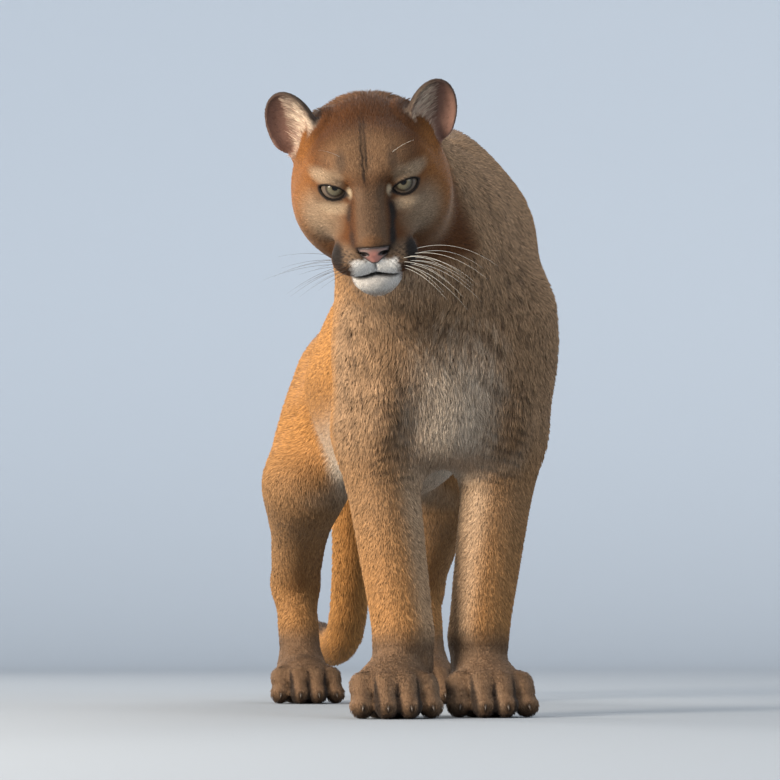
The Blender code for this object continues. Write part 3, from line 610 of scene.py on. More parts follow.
def lid_level(local, side):
    """Below 1 within the almond outline between the lids, 1 on it, and more outside. The
    outline's height is the rise times (1 - along squared) to the power 0.65."""
    look, long_axis, short_axis = (np.array(way) for way in gaze(side))
    off = local - np.array((EYE[0] * SIDES[side], EYE[1], EYE[2]))
    along = off @ long_axis / LID_HALF_LENGTH
    up = off @ short_axis
    up = up / np.where(up > 0, *LIDS)
    level = (np.abs(up) ** 1.54 + along**2) ** 0.55
    return np.where(off @ look > 0, level, 9.0)


def leather(local):
    """Below 0 within the outline of the nose leather, by about the distance from it."""
    heights, widths = np.array(LEATHER).T
    off = np.abs(local[:, 0]) - smooth_line(local[:, 2], heights, widths)
    above = local[:, 2] - heights[-1] + 12.0 * local[:, 0] ** 2
    below = heights[0] - local[:, 2]
    return np.maximum(np.maximum(off * 0.75, above), np.maximum(below, local[:, 1] + 0.094))


def ear_axes(side):
    """The ear's own axes in the head's frame as columns: across, front and up."""
    sign = SIDES[side]
    up = unit(np.array((EAR_UP[0] * sign, EAR_UP[1], EAR_UP[2])))
    front = np.array((EAR_FRONT[0] * sign, EAR_FRONT[1], EAR_FRONT[2]))
    front = unit(front - (front @ up) * up)
    return np.column_stack([np.cross(front, up), front, up])


def ear_own(local, side):
    """Points in the ear's own frame, from its root."""
    root = np.array((EAR_ROOT[0] * SIDES[side] + EARS_SHIFT, EAR_ROOT[1], EAR_ROOT[2]))
    return (local - root) @ ear_axes(side)


def past_root(points):
    """How far points lie behind the leaning plane where the tail's own coat starts."""
    return (points - np.array(TAIL_START)) @ unit(np.array(TAIL_AHEAD))


def coat_depth(points):
    """How far the skin lies under the outline of the coat."""
    local = to_head(points)
    y, z = points[:, 1], points[:, 2]
    ahead = smoothstep(0.03, 0.0, past_root(points))
    deep = mix(DEEP["body"], DEEP["chest"], smoothstep(-0.24, -0.34, y) * smoothstep(0.27, 0.34, z))
    deep = mix(deep, DEEP["leg"], smoothstep(0.37, 0.24, z) * ahead)
    deep = mix(deep, DEEP["foot"], smoothstep(0.13, 0.08, z) * ahead)
    deep = deep + 0.0022 * smoothstep(0.0085, 0.0, np.abs(z - 0.0255)) * ahead
    deep = mix(deep, DEEP["tail"], 1 - ahead)
    near = smoothstep(0.175, 0.145, np.linalg.norm(local, axis=1))
    deep = mix(deep, DEEP["head"], near * smoothstep(0.080, 0.030, local[:, 1]))
    deep = mix(deep, DEEP["face"], near * smoothstep(0.020, -0.020, local[:, 1]))
    deep = mix(deep, DEEP["muzzle"], near * smoothstep(-0.055, -0.080, local[:, 1]))
    for side in SIDES:
        own = ear_own(local, side)
        ear = smoothstep(0.052, 0.040, np.linalg.norm(own - np.array((0, 0, 0.030)), axis=1))
        deep = mix(deep, DEEP["ear"], ear * smoothstep(-0.010, 0.010, own[:, 2]))
        eye = local - np.array((EYE[0] * SIDES[side], EYE[1], EYE[2]))
        deep = mix(deep, DEEP["lid"], smoothstep(0.030, 0.021, np.linalg.norm(eye, axis=1)))
    return deep


def body_skin(points):
    """Distance to the skin without the head's fine work."""
    return body(points) + coat_depth(points)


def head_skin(points):
    """Distance to the skin of the head, with the openings between the lids."""
    local = to_head(points)
    form = head(points) + coat_depth(points)
    for side in SIDES:
        off = local - np.array((EYE[0] * SIDES[side], EYE[1], EYE[2]))
        opening = (lid_level(local, side) - 1.0) * 0.006
        opening = np.maximum(opening, EYE_RADIUS - 0.0012 - np.linalg.norm(off, axis=1))
        form = carve(form, opening, 0.0012)
    return form


def places(points, normals):
    """How far each point belongs to each region of the coat, from 0 to 1."""
    local = to_head(points)
    x, y, z = points.T
    side_of = np.abs(local[:, 0])
    near = smoothstep(0.178, 0.160, np.linalg.norm(local, axis=1))
    under = smoothstep(-0.065, -0.085, local[:, 2] + 0.35 * np.maximum(local[:, 1] + 0.05, 0.0))
    head_share = near * smoothstep(0.085, 0.045, local[:, 1]) * (1 - under)
    outer = skull(local)
    ear = np.zeros(len(points))
    inside = np.zeros(len(points))
    own_place = np.zeros((len(points), 3))
    for side in SIDES:
        own = ear_own(local, side)
        shell = ear_form(local, side)
        share = smoothstep(0.006, 0.001, shell) * smoothstep(0.001, 0.006, outer) * (
            local[:, 0] * SIDES[side] > 0)
        share *= smoothstep(-0.022, -0.012, own[:, 2])
        toward = normals @ (head_axes()[0] @ ear_axes(side)[:, 1])
        inside = np.where(share > 0, np.maximum(inside, share * smoothstep(-0.1, 0.25, toward)), inside)
        own_place = np.where((share > 0)[:, None], own * (SIDES[side], 1.0, 1.0), own_place)
        ear = np.maximum(ear, share)
    table = np.array(TRUNK)
    middle = smooth_line(y, table[:, 0], table[:, 1])
    height = smooth_line(y, table[:, 0], table[:, 2])
    level = (z - middle) / height
    ahead = smoothstep(0.03, 0.0, past_root(points))
    leg = smoothstep(0.36, 0.26, z) * ahead
    inner = smoothstep(0.05, 0.7, -normals[:, 0] * np.sign(x))
    return {
        "local": local, "own": own_place, "head": head_share, "ear": ear, "ear_inside": inside,
        "face": head_share * smoothstep(0.030, -0.015, local[:, 1] - 0.2 * side_of),
        "muzzle": head_share * smoothstep(-0.058, -0.080, local[:, 1]),
        "leg": leg, "foot": smoothstep(0.115, 0.080, z) * ahead, "tail": 1 - ahead,
        "inner": inner * smoothstep(0.44, 0.30, z) * ahead * smoothstep(0.10, -0.10, y),
        "chest": smoothstep(-0.22, -0.33, y) * smoothstep(0.26, 0.33, z) * (1 - head_share),
        "belly": smoothstep(-0.10, -0.75, normals[:, 2]) * smoothstep(-0.40, -0.80, level) * ahead
        * smoothstep(0.115, 0.085, np.abs(x)) * smoothstep(-0.30, -0.22, y)
        * smoothstep(0.250, 0.310, z) * smoothstep(0.40, 0.33, y),
        "level": level, "throat": near * under,
    }


def head_colour(colour, at, points):
    """The markings of the head over a colour: crown, stripe, brows, cheeks, tear lines, bridge,
    whisker pads, lips, chin, lids and ears."""
    local = at["local"]
    half = np.column_stack([np.abs(local[:, 0]), local[:, 1], local[:, 2]])
    x, y, z = half.T
    head_share = at["head"]
    speckle = ripple(points, 0.006, 5)

    def lay(second, share):
        nonlocal colour
        colour = mix(colour, second, np.clip(share, 0, 1) * head_share)

    lay(CROWN, np.ones(len(x)))
    lay(RUFOUS, smoothstep(0.050, 0.072, x) * smoothstep(-0.045, 0.0, z) * smoothstep(0.090, 0.060, z)
        * 0.9)
    lay(TICKED, spot(half, (0.0, -0.055, 0.070), (0.048, 0.050, 0.022), 0.5) * 0.55)
    lay(CHEEK, spot(half, (0.049, -0.032, -0.002), (0.028, 0.045, 0.030), 0.45))
    lay(mix(CHEEK, RUFOUS, 0.45), spot(half, (0.062, 0.012, -0.035), (0.040, 0.040, 0.030), 0.5))
    lay(BRIDGE, smoothstep(0.022, 0.012, x) * smoothstep(-0.045, -0.062, y) * smoothstep(-0.03, -0.01, z)
        * smoothstep(0.058, 0.030, z))
    lay(mix(BRIDGE, RUFOUS, 0.4), spot(half, (0.0, -0.116, -0.0060), (0.013, 0.012, 0.007), 0.5) * 0.6)
    lay(mix(CHEEK, CREAM, 0.25), spot(half, (0.0490, -0.053, 0.0480), (0.0180, 0.030, 0.0075), 0.6) * 0.8)
    lay(CHEEK, spot(half, (0.0340, -0.058, 0.0460), (0.0070, 0.020, 0.0120), 0.6) * 0.7)
    lay(SMUDGE, spot(half, (0.0280, -0.0565, 0.0640), (0.0056, 0.030, 0.0100), 0.6) * 0.75)
    off = local[:, 0] + 0.0020 + 0.035 * (z - 0.05) + 0.0008 * ripple(points, 0.012, 6)
    lines = np.maximum(smoothstep(0.0016, 0.0005, np.abs(off - 0.0022)) * smoothstep(0.052, 0.060, z),
                       smoothstep(0.0020, 0.0006, np.abs(off + 0.0020)))
    lay(BLACK, lines * smoothstep(0.040, 0.047, z) * smoothstep(0.040, -0.010, y)
        * (0.62 + 0.38 * smoothstep(0.080, 0.066, z)) * (0.85 + 0.15 * speckle))
    lay(SMUDGE, smoothstep(0.0110, 0.0030, x + 0.003 * speckle) * smoothstep(0.045, 0.060, z)
        * smoothstep(0.03, -0.02, y) * 0.35)
    lay(CREAM, spot(half, (0.0222, -0.060, 0.0300), (0.0028, 0.014, 0.0060), 0.6) * 0.8)
    lay(mix(CHEEK, CREAM, 0.35), spot(half, (0.0400, -0.060, 0.0140), (0.0160, 0.020, 0.0055), 0.6) * 0.8)
    # The dark streaks from the eyes down beside the nose are the head's own markings, painted darker on its left side
    # (x > 0), away from the key lamp: painted shade there.
    shaded = local[:, 0] > 0
    lay(DARK, streak(half, (0.0240, -0.064, 0.0240), (0.0245, -0.080, 0.0080), 0.0036, 1.0)
        * np.where(shaded, 1.0, 0.75))
    lay(BLACK, streak(half, (0.0235, -0.072, 0.0160), (0.0215, -0.104, -0.0100), 0.0052, 1.0)
        * np.where(shaded, 1.0, 0.40))
    lay(BLACK, streak(half, (0.0225, -0.096, -0.0060), (0.0205, -0.110, -0.0240), 0.0050, 1.0)
        * np.where(shaded, 0.95, 0.55))
    pad = spot(half, (0.0290, -0.095, -0.0270), (0.018, 0.030, 0.0110), 0.5)
    lay(mix(BRIDGE, CHEEK, 0.35), pad)
    lay(BLACK, spot(half, (0.0410, -0.0945, -0.0280), (0.0082, 0.022, 0.0125), 0.4) * 0.97)
    lay(DARK, spot(half, (0.0330, -0.102, -0.0400), (0.0100, 0.022, 0.0050), 0.5) * 0.70)
    lay(BLACK, smoothstep(0.0030, 0.0004, leather(local)) * smoothstep(-0.034, -0.026, z) * 0.9)
    lay(WHITE, smoothstep(-0.0262, -0.0312, z + 0.10 * np.abs(x - 0.014) + 0.0012 * speckle)
        * smoothstep(0.029, 0.021, x + 0.0015 * speckle) * smoothstep(-0.065, -0.078, y))
    upper, lower = jaws(local)
    lay(mix(WHITE, CHEEK, 0.25), smoothstep(0.004, -0.004, lower - upper) * smoothstep(-0.055, -0.070, y)
        * smoothstep(0.031, 0.023, x - 0.35 * (z + 0.055)))
    lay(mix(CHEEK, WHITE, 0.45), smoothstep(0.004, -0.004, lower - upper) * smoothstep(-0.020, -0.040, y)
        * smoothstep(-0.070, -0.055, y) * smoothstep(0.048, 0.034, x))
    rows = np.sin((z + 0.35 * y) * 2 * math.pi / 0.0058) * np.sin((x - 0.4 * y) * 2 * math.pi / 0.0062)
    lay(BLACK, smoothstep(0.10, 0.5, rows) * spot(half, (0.030, -0.098, -0.029), (0.014, 0.03, 0.0105)) * 0.75)
    lay(BLACK, smoothstep(0.0052, 0.0030, np.abs(upper - lower)) * smoothstep(-0.045, -0.055, y))
    lay(BLACK, streak(half, (0, -0.115, -0.0350), (0, -0.108, -0.0425), 0.0009, 0.8) * 0.9)
    for side in SIDES:
        level = lid_level(local, side)
        lay(BLACK, smoothstep(1.30, 1.14, level) * 0.97)
        look, long_axis, short_axis = (np.array(way) for way in gaze(side))
        middle = np.array((EYE[0] * SIDES[side], EYE[1], EYE[2])) + look * EYE_RADIUS
        for reach, fall in ((0.0215, 0.0035), (-0.0185, -0.0020)):
            corner = middle + long_axis * reach * 0.72
            lay(DARK, streak(local, corner, middle + long_axis * reach + short_axis * fall * 0.6
                             - look * 0.004, 0.0016, 1.0) * 0.9)
    own = at["own"]
    ear, inside = at["ear"], at["ear_inside"]
    back = mix(mix(SMUDGE, BACK, 0.2), DARK, 0.75)
    colour = mix(colour, back, ear * (1 - inside))
    colour = mix(colour, EAR_SKIN, inside)
    white_side = smoothstep(-0.010, 0.008, own[:, 0] - 0.30 * (own[:, 2] - 0.02) + 0.003 * speckle)
    colour = mix(colour, mix(CREAM, WHITE, 0.2), inside * white_side * (0.50 + 0.30 * speckle))
    rim = smoothstep(0.78, 0.98, np.linalg.norm(
        (own - np.array((0, 0, EAR_SIZE[2] * 0.42))) / (EAR_SIZE[0], 1.0, EAR_SIZE[2]), axis=1))
    return mix(colour, DARK, ear * rim * smoothstep(0.004, 0.020, own[:, 2]) * 0.90)


def coat_colour(points, normals, at):
    """The colour of the coat at each point: tawny, darker along the back, greyer in front, pale
    below and within the legs, with the head's markings and dark feet and tail tip, painted shade
    in the partings of the chest fur and between the toes, and painted light on the throat and on
    the tops of the feet."""
    x, y, z = points.T
    colour = np.tile(np.array(TAWNY), (len(points), 1))
    colour = mix(colour, BACK, smoothstep(0.45, 1.0, at["level"]) * smoothstep(-0.5, -0.3, y) * 0.85)
    front = smoothstep(-0.10, -0.28, y) * smoothstep(0.10, -0.55, normals[:, 1])
    colour = mix(colour, TICKED, np.clip(front + 0.5 * smoothstep(-0.16, -0.30, y), 0, 1)
                 * smoothstep(0.20, 0.32, z))
    clumps = ripple(points * (1.0, 1.0, 0.55), 0.0125, 3)
    # Darker patches on the front of the chest and neck: painted shade in the partings between clumps of fur. The tone
    # there also varies at random.
    patches = smoothstep(0.30, 0.80, clumps)
    facing = smoothstep(0.0, -0.6, normals[:, 1]) * smoothstep(0.13, 0.06, x)
    mottled = np.clip(at["chest"] * (0.10 + 0.90 * facing) + 0.1 * front, 0, 1)
    mottled *= 1 - at["head"]
    colour = mix(colour, np.array(SMUDGE), 0.60 * patches * mottled)
    colour = colour * (1 + 0.16 * mottled * ripple(points, 0.030, 4))[:, None]
    colour = mix(colour, LEG, at["leg"] * (0.4 + 0.6 * smoothstep(0.10, 0.30, z)))
    colour = mix(colour, LEG_INSIDE, at["inner"] * 0.42)
    bars = smoothstep(0.25, 0.85, np.sin(2 * math.pi * (z + 0.25 * np.abs(x - lean(y)) + 0.06 * y) / 0.0125
                                         + 1.6 * ripple(points, 0.030, 8)))
    on_arm = smoothstep(0.255, 0.285, z) * smoothstep(0.405, 0.370, z) * smoothstep(-0.20, -0.26, y)
    off = np.abs(x - lean(y))
    on_arm *= smoothstep(0.030, 0.046, off) * smoothstep(0.100, 0.085, off)
    colour = mix(colour, DARK, bars * on_arm * 0.62)
    middle = smoothstep(0.078, 0.012, off + 0.008 * clumps) * smoothstep(-0.22, -0.28, y)
    middle *= smoothstep(0.27, 0.33, z)
    colour = mix(colour, PALE, middle * smoothstep(0.475, 0.365, z + 0.02 * clumps) * 0.8)
    colour = mix(colour, PALE, np.clip(at["belly"], 0, 1))
    # The throat's own pale colour, made golden and laid on at 0.9 so that it also carries painted light on the throat.
    colour = mix(colour, mix(PALE, TAWNY, 0.4), at["throat"] * smoothstep(0.03, -0.04, at["local"][:, 1]) * 0.9)
    crown = spot(at["local"], (0.0, 0.070, 0.075), (0.068, 0.060, 0.050), 0.4)
    colour = mix(colour, CROWN, crown * 0.85)
    # The feet are dark brown, painted lighter where they face up and darker where they face down: painted light and
    # shade.
    painted_top_light = smoothstep(-0.3, 0.75, normals[:, 2])[:, None]
    colour = mix(colour, np.array(FOOT) * (0.70 + 0.75 * painted_top_light), at["foot"] * 0.85)
    # Painted shade in the gaps between the toes, wider near the floor, and a black spot at the front of each toe, at
    # its claw.
    for side in SIDES:
        for centre, reach, foot in feet(side):
            here = smoothstep(0.30, 0.20, np.abs(y - reach + 0.05)) * (x * SIDES[side] > -0.03)
            gap = np.abs(np.mod((x - centre) / (0.0236 * foot) + 0.5, 1.0) - 0.5) * 0.0236 * foot
            toes = smoothstep(reach - 0.024, reach - 0.044, y) * (np.abs(x - centre) < 0.040 * foot) * here
            wide = 0.0018 + 0.0032 * smoothstep(0.050, 0.022, z)
            toes *= smoothstep(0.060, 0.040, z)
            colour = mix(colour, BLACK, smoothstep(wide, 0.3 * wide, gap) * toes * at["foot"] * 0.85)
            for place in (-1.5, -0.5, 0.5, 1.5):
                claw = (centre + place * (0.0236 * foot + 0.002),
                        reach - (0.0766 - 0.014 * (abs(place) - 0.5)) * foot, 0.0125 * foot)
                colour = mix(colour, BLACK, spot(points, claw, (0.0038, 0.012, 0.0062), 0.5) * 0.75)
    colour = mix(colour, DARK, at["foot"] * smoothstep(0.016, 0.004, z) * 0.6)
    colour = mix(colour, DARK, at["tail"] * smoothstep(0.80, 0.86, y) * 0.9)
    return np.clip(head_colour(colour, at, points), 0.0, 1.0)


def coat_lie(points, normals, at):
    """The way the coat lies: back and down on the body, down the limbs and the breast, along
    the tail, away from the nose on the head, up the ears, and round the eyes."""
    count = len(points)
    facing = smoothstep(0.0, -0.6, normals[:, 1])
    way = np.tile((0.0, 1.0, -0.35), (count, 1))
    way = mix(way, (0.0, 0.55, -0.85), smoothstep(0.10, -0.20, points[:, 1]) * 0.7)
    way = mix(way, (0.0, 0.10, -1.0), np.clip(at["chest"] * facing + 0.4 * facing, 0, 1))
    way = mix(way, (0.0, 0.30, -1.0), at["leg"])
    way = mix(way, (0.0, -0.85, -0.50), at["foot"] * smoothstep(0.4, -0.3, normals[:, 1]))
    way = mix(way, (0.0, 1.0, 0.0), at["belly"])
    line = tail_line()
    nearest = np.argmin(np.linalg.norm(points[:, None, 1:] - line[None, :-1, 1:], axis=2), axis=1)
    way = mix(way, unit(line[1:] - line[:-1])[nearest], at["tail"])
    local = at["local"]
    axes = head_axes()[0]
    from_nose = unit((local - np.array((0.0, -0.128, -0.012))) * (1.15, 1.0, 1.0))
    from_nose = unit(from_nose + np.column_stack([0 * local[:, 0], 0.25 + 0 * local[:, 0],
                                                  -0.35 * smoothstep(-0.02, -0.06, local[:, 2])]))
    way = mix(way, from_nose @ axes.T, at["head"])
    for side in SIDES:
        look, long_axis, short_axis = (np.array(way_) for way_ in gaze(side))
        off = local - np.array((EYE[0] * SIDES[side], EYE[1], EYE[2]))
        level = lid_level(local, side)
        away = unit(off - (off @ look)[:, None] * look)
        way = mix(way, unit(away * 0.9 + from_nose * 0.5) @ axes.T,
                  smoothstep(2.6, 1.5, level) * smoothstep(0.040, 0.028, np.linalg.norm(off, axis=1)))
        here = at["ear"] * (local[:, 0] * SIDES[side] > 0)
        own = ear_axes(side)
        up = mix(np.tile(own[:, 2], (count, 1)),
                 unit(own[:, 2] * 0.75 - own[:, 0] * SIDES[side] * 0.6 + own[:, 1] * 0.15),
                 at["ear_inside"])
        way = mix(way, up @ axes.T, here)
    wander = np.column_stack([ripple(points, 0.045, seed) for seed in (11, 12, 13)])
    way = unit(way) + wander * (0.16 + 0.14 * at["chest"])[:, None]
    flat = way - (way * normals).sum(1)[:, None] * normals
    return unit(flat + 1e-4)


def unwrap(name, points, at):
    """A place from 0 to 1 for each root on an unrolled skin: round and along the spine, a limb or
    the tail, by longitude and latitude on the head, and across and up each face of an ear."""
    x, y, z = points.T
    if name == "coat_ears":
        own = at["own"]
        sheet = 2.0 * (at["local"][:, 0] > 0) + (at["ear_inside"] > 0.5)
        across, along = (sheet + np.clip(own[:, 0] / 0.08 + 0.5, 0.02, 0.98)) / 4.0, own[:, 2]
    elif name in ("coat_head", "coat_face"):
        local = at["local"] - np.array((0.0, 0.010, 0.005))
        across = np.arctan2(local[:, 0], -local[:, 1]) / (2 * math.pi) + 0.5
        along = np.arctan2(local[:, 2], np.hypot(local[:, 0], local[:, 1]))
    elif name == "coat_tail":
        line = tail_line()
        nearest = np.argmin(np.linalg.norm(points[:, None, 1:] - line[None, :, 1:], axis=2), axis=1)
        off = points - line[nearest]
        across = np.arctan2(off[:, 0], off[:, 2] + off[:, 1]) / (2 * math.pi) + 0.5
        along = nearest + 0.0
    elif "leg" in name or "foot" in name:
        fit_x, fit_y = np.polyfit(z, x, 1), np.polyfit(z, y, 1)
        across = np.arctan2(x - np.polyval(fit_x, z), y - np.polyval(fit_y, z)) / (2 * math.pi) + 0.5
        along = z
    else:
        table = np.array(TRUNK)
        middle = smooth_line(y, table[:, 0], table[:, 1])
        across = np.arctan2(x, z - middle) / (2 * math.pi) + 0.5
        along = y
    low, high = along.min(), along.max()
    return 0.01 + 0.98 * np.column_stack([across, (along - low) / (high - low)]) * (1 - 2 * TUFT_PATCH)


def tail_line():
    """Points along the middle of the tail."""
    given = np.arange(len(TAIL_LINE), dtype=float)
    at = np.linspace(0.0, given[-1], 2 * TAIL_LENGTHS)
    return np.column_stack([smooth_line(at, given, np.array(TAIL_LINE)[:, axis]) for axis in range(3)])


def coat_piece(name, points, normals):
    """The name of the piece of coat that each point of the skin belongs to."""
    local = to_head(points)
    x, y, z = points.T
    ear = np.zeros(len(points), bool)
    for side in SIDES:
        own = ear_own(local, side)
        ear |= (ear_form(local, side) < 0.004) & (skull(local) > 0.0035) & (own[:, 2] > -0.018) & (
            local[:, 0] * SIDES[side] > 0)
    side = np.where(x > 0, "left", "right")
    names = np.where(y < -0.02, "coat_shoulders", "coat_flanks").astype(object)
    names[y > 0.16] = "coat_hips"
    names[past_root(points) > 0] = "coat_tail"
    fore = (z < 0.36) & (y < 0.0)
    hind = (z < 0.36) & (y > 0.16) & (past_root(points) <= 0)
    for label, where in (("coat_foreleg_", fore), ("coat_hindleg_", hind)):
        names[where] = np.char.add(label, side[where].astype(str))
    low = (z < FOOT_TOP) & (past_root(points) <= 0)
    names[low & (y < 0.0)] = "coat_forefeet"
    names[low & (y > 0.0)] = "coat_hindfeet"
    cut = from_head((0, 0, 0)) + np.array(NECK_CUT)
    front = (points - cut) @ unit(np.array(NECK_CUT_NORMAL)) < 0
    trunk_front = names == "coat_shoulders"
    names[trunk_front] = np.char.add("coat_shoulder_", side[trunk_front].astype(str))
    names[trunk_front & (y < -0.325)] = "coat_neck"
    near = np.linalg.norm(local, axis=1) < 0.2
    names[front & near] = np.where(local[front & near][:, 1] < -0.005, "coat_face", "coat_head")
    names[ear & front] = "coat_ears"
    return names


def scattered(corners, normals, thickness, draw):
    """Places spread over triangles, so many to the square metre, each triangle's share by its
    area, with the normals between their corners'."""
    area = np.linalg.norm(np.cross(corners[:, 1] - corners[:, 0], corners[:, 2] - corners[:, 0]), axis=1) / 2
    reach = np.cumsum(area * thickness)
    count = int(reach[-1])
    chosen = np.searchsorted(reach, (np.arange(count) + draw.uniform(0, 1, count)) * reach[-1] / count)
    chosen = np.minimum(chosen, len(corners) - 1)
    a, b = draw.uniform(0, 1, (2, count))
    a, b = np.where(a + b > 1, (1 - a, 1 - b), (a, b))
    weights = np.column_stack([1 - a - b, a, b])[:, :, None]
    return (corners[chosen] * weights).sum(1), unit((normals[chosen] * weights).sum(1))


def tufts(roots, normals, way, size, colours, patches, draw):
    """Points, triangles, normals, colours and OFBake places of the tufts. Each is a closed spike
    of four triangles: two points at its root, a ridge at 0.38 of its length and a tip that
    stands off the skin."""
    length, width, rise = size.T
    count = len(roots)
    across = unit(np.cross(way, normals))
    turned = draw.normal(0, 0.17, count)[:, None]
    way = unit(way + across * turned)
    across = unit(np.cross(way, normals))
    half = across * width[:, None] / 2
    root = roots - normals * 0.0005
    ridge = roots + way * (0.38 * length)[:, None] + normals * (0.62 * rise + 0.25 * width)[:, None]
    tip = roots + way * np.sqrt(np.maximum(length**2 - rise**2, 1e-9))[:, None] + normals * rise[:, None]
    points = np.stack([root - half, root + half, ridge, tip], axis=1)
    points[:, :, 2] = np.maximum(points[:, :, 2], FLOOR - OFFSET[2] - 0.0005)
    lean = normals + draw.normal(0, 0.10, (count, 3))
    shades = np.stack([lean - 0.25 * across, lean + 0.25 * across, lean, lean + 0.15 * way], axis=1)
    corner = np.array(((0, 1, 2), (1, 3, 2), (0, 2, 3), (0, 3, 1)))
    faces = (np.arange(count)[:, None, None] * 4 + corner).reshape(-1, 3)
    tone = np.clip(1 + draw.normal(0, 0.17, count), 0.5, 1.6)
    kind = draw.uniform(0, 1, count)
    tick = np.where(kind < 0.25, 0.42, np.where(kind > 0.82, 1.50, 1.08))
    # Each tuft's tone differs at random and its tip is ticked dark or pale. Its two root points are 0.78 as bright as
    # the ridge: painted shade at the roots among the tufts.
    tone_ticks_and_root_shade = np.stack([0.78 * tone, 0.78 * tone, tone, tone * tick], axis=1)
    painted = np.clip(colours[:, None] * tone_ticks_and_root_shade[:, :, None], 0, 1)
    patch = np.array(((0.0, 0.0), (1.0, 0.0), (0.5, 0.5), (0.5, 1.0))) * TUFT_PATCH
    spread = (patches[:, None] + patch)[:, corner.ravel()]
    return (points.reshape(-1, 3), faces, unit(shades).reshape(-1, 3), painted.reshape(-1, 3),
            spread.reshape(-1, 2))


def add_mesh(name, points, faces, finish, colours=None, normals=None, patches=None):
    """A piece that rides on the still body: its mesh, colours as the attribute coat, custom
    normals, and the map OFBake where it is given."""
    mesh = bpy.data.meshes.new(name)
    mesh.vertices.add(len(points))
    mesh.vertices.foreach_set("co", points.astype(np.float32).ravel())
    mesh.loops.add(faces.size)
    mesh.loops.foreach_set("vertex_index", faces.astype(np.int32).ravel())
    mesh.polygons.add(len(faces))
    mesh.polygons.foreach_set("loop_start", np.arange(0, faces.size, faces.shape[1], dtype=np.int32))
    mesh.polygons.foreach_set("use_smooth", np.ones(len(faces), bool))
    mesh.update(calc_edges=True)
    if colours is not None:
        layer = mesh.color_attributes.new("coat", "FLOAT_COLOR", "POINT")
        full = np.column_stack([colours, np.ones(len(colours))]).astype(np.float32)
        layer.data.foreach_set("color", full.ravel())
    if patches is not None:
        layer = mesh.uv_layers.new(name="OFBake")
        layer.uv.foreach_set("vector", patches.astype(np.float32).ravel())
    if normals is not None:
        mesh.normals_split_custom_set_from_vertices(normals.astype(np.float32))
    mesh.materials.append(finish)
    made = bpy.data.objects.new(name, mesh)
    bpy.context.scene.collection.objects.link(made)
    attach(made, "root")
    return made


def outward(points, faces):
    """Triangles turned so that the volume they close is positive."""
    a, b, c = (points[faces[:, i]] for i in range(3))
    return faces if np.einsum("ij,ij->i", a, np.cross(b, c)).sum() > 0 else faces[:, ::-1]


def rings(rows, columns, looped=False):
    """Triangles over a grid of rows, each row a ring. The ends close on two more points, the
    first row's and the last row's, or a looped grid joins its last row to its first."""
    at = np.arange(rows * columns).reshape(rows, columns)
    near, far = (at, np.roll(at, -1, axis=0)) if looped else (at[:-1], at[1:])
    turn = [np.roll(part, -1, axis=1) for part in (near, far)]
    faces = [np.stack([near, turn[0], turn[1]], -1), np.stack([near, turn[1], far], -1)]
    if not looped:
        for end, ring in ((rows * columns, at[0]), (rows * columns + 1, at[-1])):
            fan = np.stack([np.full(columns, end), np.roll(ring, -1), ring], -1)
            faces.append(fan if end == rows * columns else fan[:, ::-1])
    return np.concatenate([part.reshape(-1, 3) for part in faces])


def tube(path, radii, columns, looped=False):
    """Points and triangles of a round tube along a path: each ring is the path's point plus its
    radius times the cosine and sine of the turn along two axes square to the path."""
    ahead = unit(np.gradient(path, axis=0) if not looped else
                 np.roll(path, -1, axis=0) - np.roll(path, 1, axis=0))
    first = unit(np.cross(ahead, unit(ahead.mean(0) + np.array((0.31, 0.22, 0.87)))))
    second = np.cross(ahead, first)
    turn = np.linspace(0, 2 * math.pi, columns, endpoint=False)
    grid = path[:, None] + radii[:, None, None] * (first[:, None] * np.cos(turn)[:, None]
                                                   + second[:, None] * np.sin(turn)[:, None])
    points = grid.reshape(-1, 3)
    if not looped:
        points = np.vstack([points, path[:1], path[-1:]])
    return points, outward(points, rings(len(path), columns, looped))


def joined(shapes):
    """Several point and triangle sets as one."""
    starts = np.cumsum([0] + [len(points) for points, _ in shapes[:-1]])
    return (np.concatenate([points for points, _ in shapes]),
            np.concatenate([faces + start for (_, faces), start in zip(shapes, starts)]))


def to_frame(points):
    """Points of the form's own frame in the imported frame."""
    return points + OFFSET


class Value:
    """A number or colour in a shader. Python's signs make Math nodes of it."""

    def __init__(self, shader, socket):
        self.shader, self.socket = shader, socket

    def maths(self, operation, *others):
        """This and the others through a Math node."""
        inputs = {index: value for index, value in enumerate((self, *others))}
        return self.shader.add("ShaderNodeMath", inputs, operation=operation)

    def __add__(self, other):
        return self.maths("ADD", other)

    def __mul__(self, other):
        return self.maths("MULTIPLY", other)

    def __sub__(self, other):
        return self.maths("SUBTRACT", other)

    def __rsub__(self, other):
        return self.maths("MULTIPLY", -1.0) + other

    __radd__ = __add__
    __rmul__ = __mul__


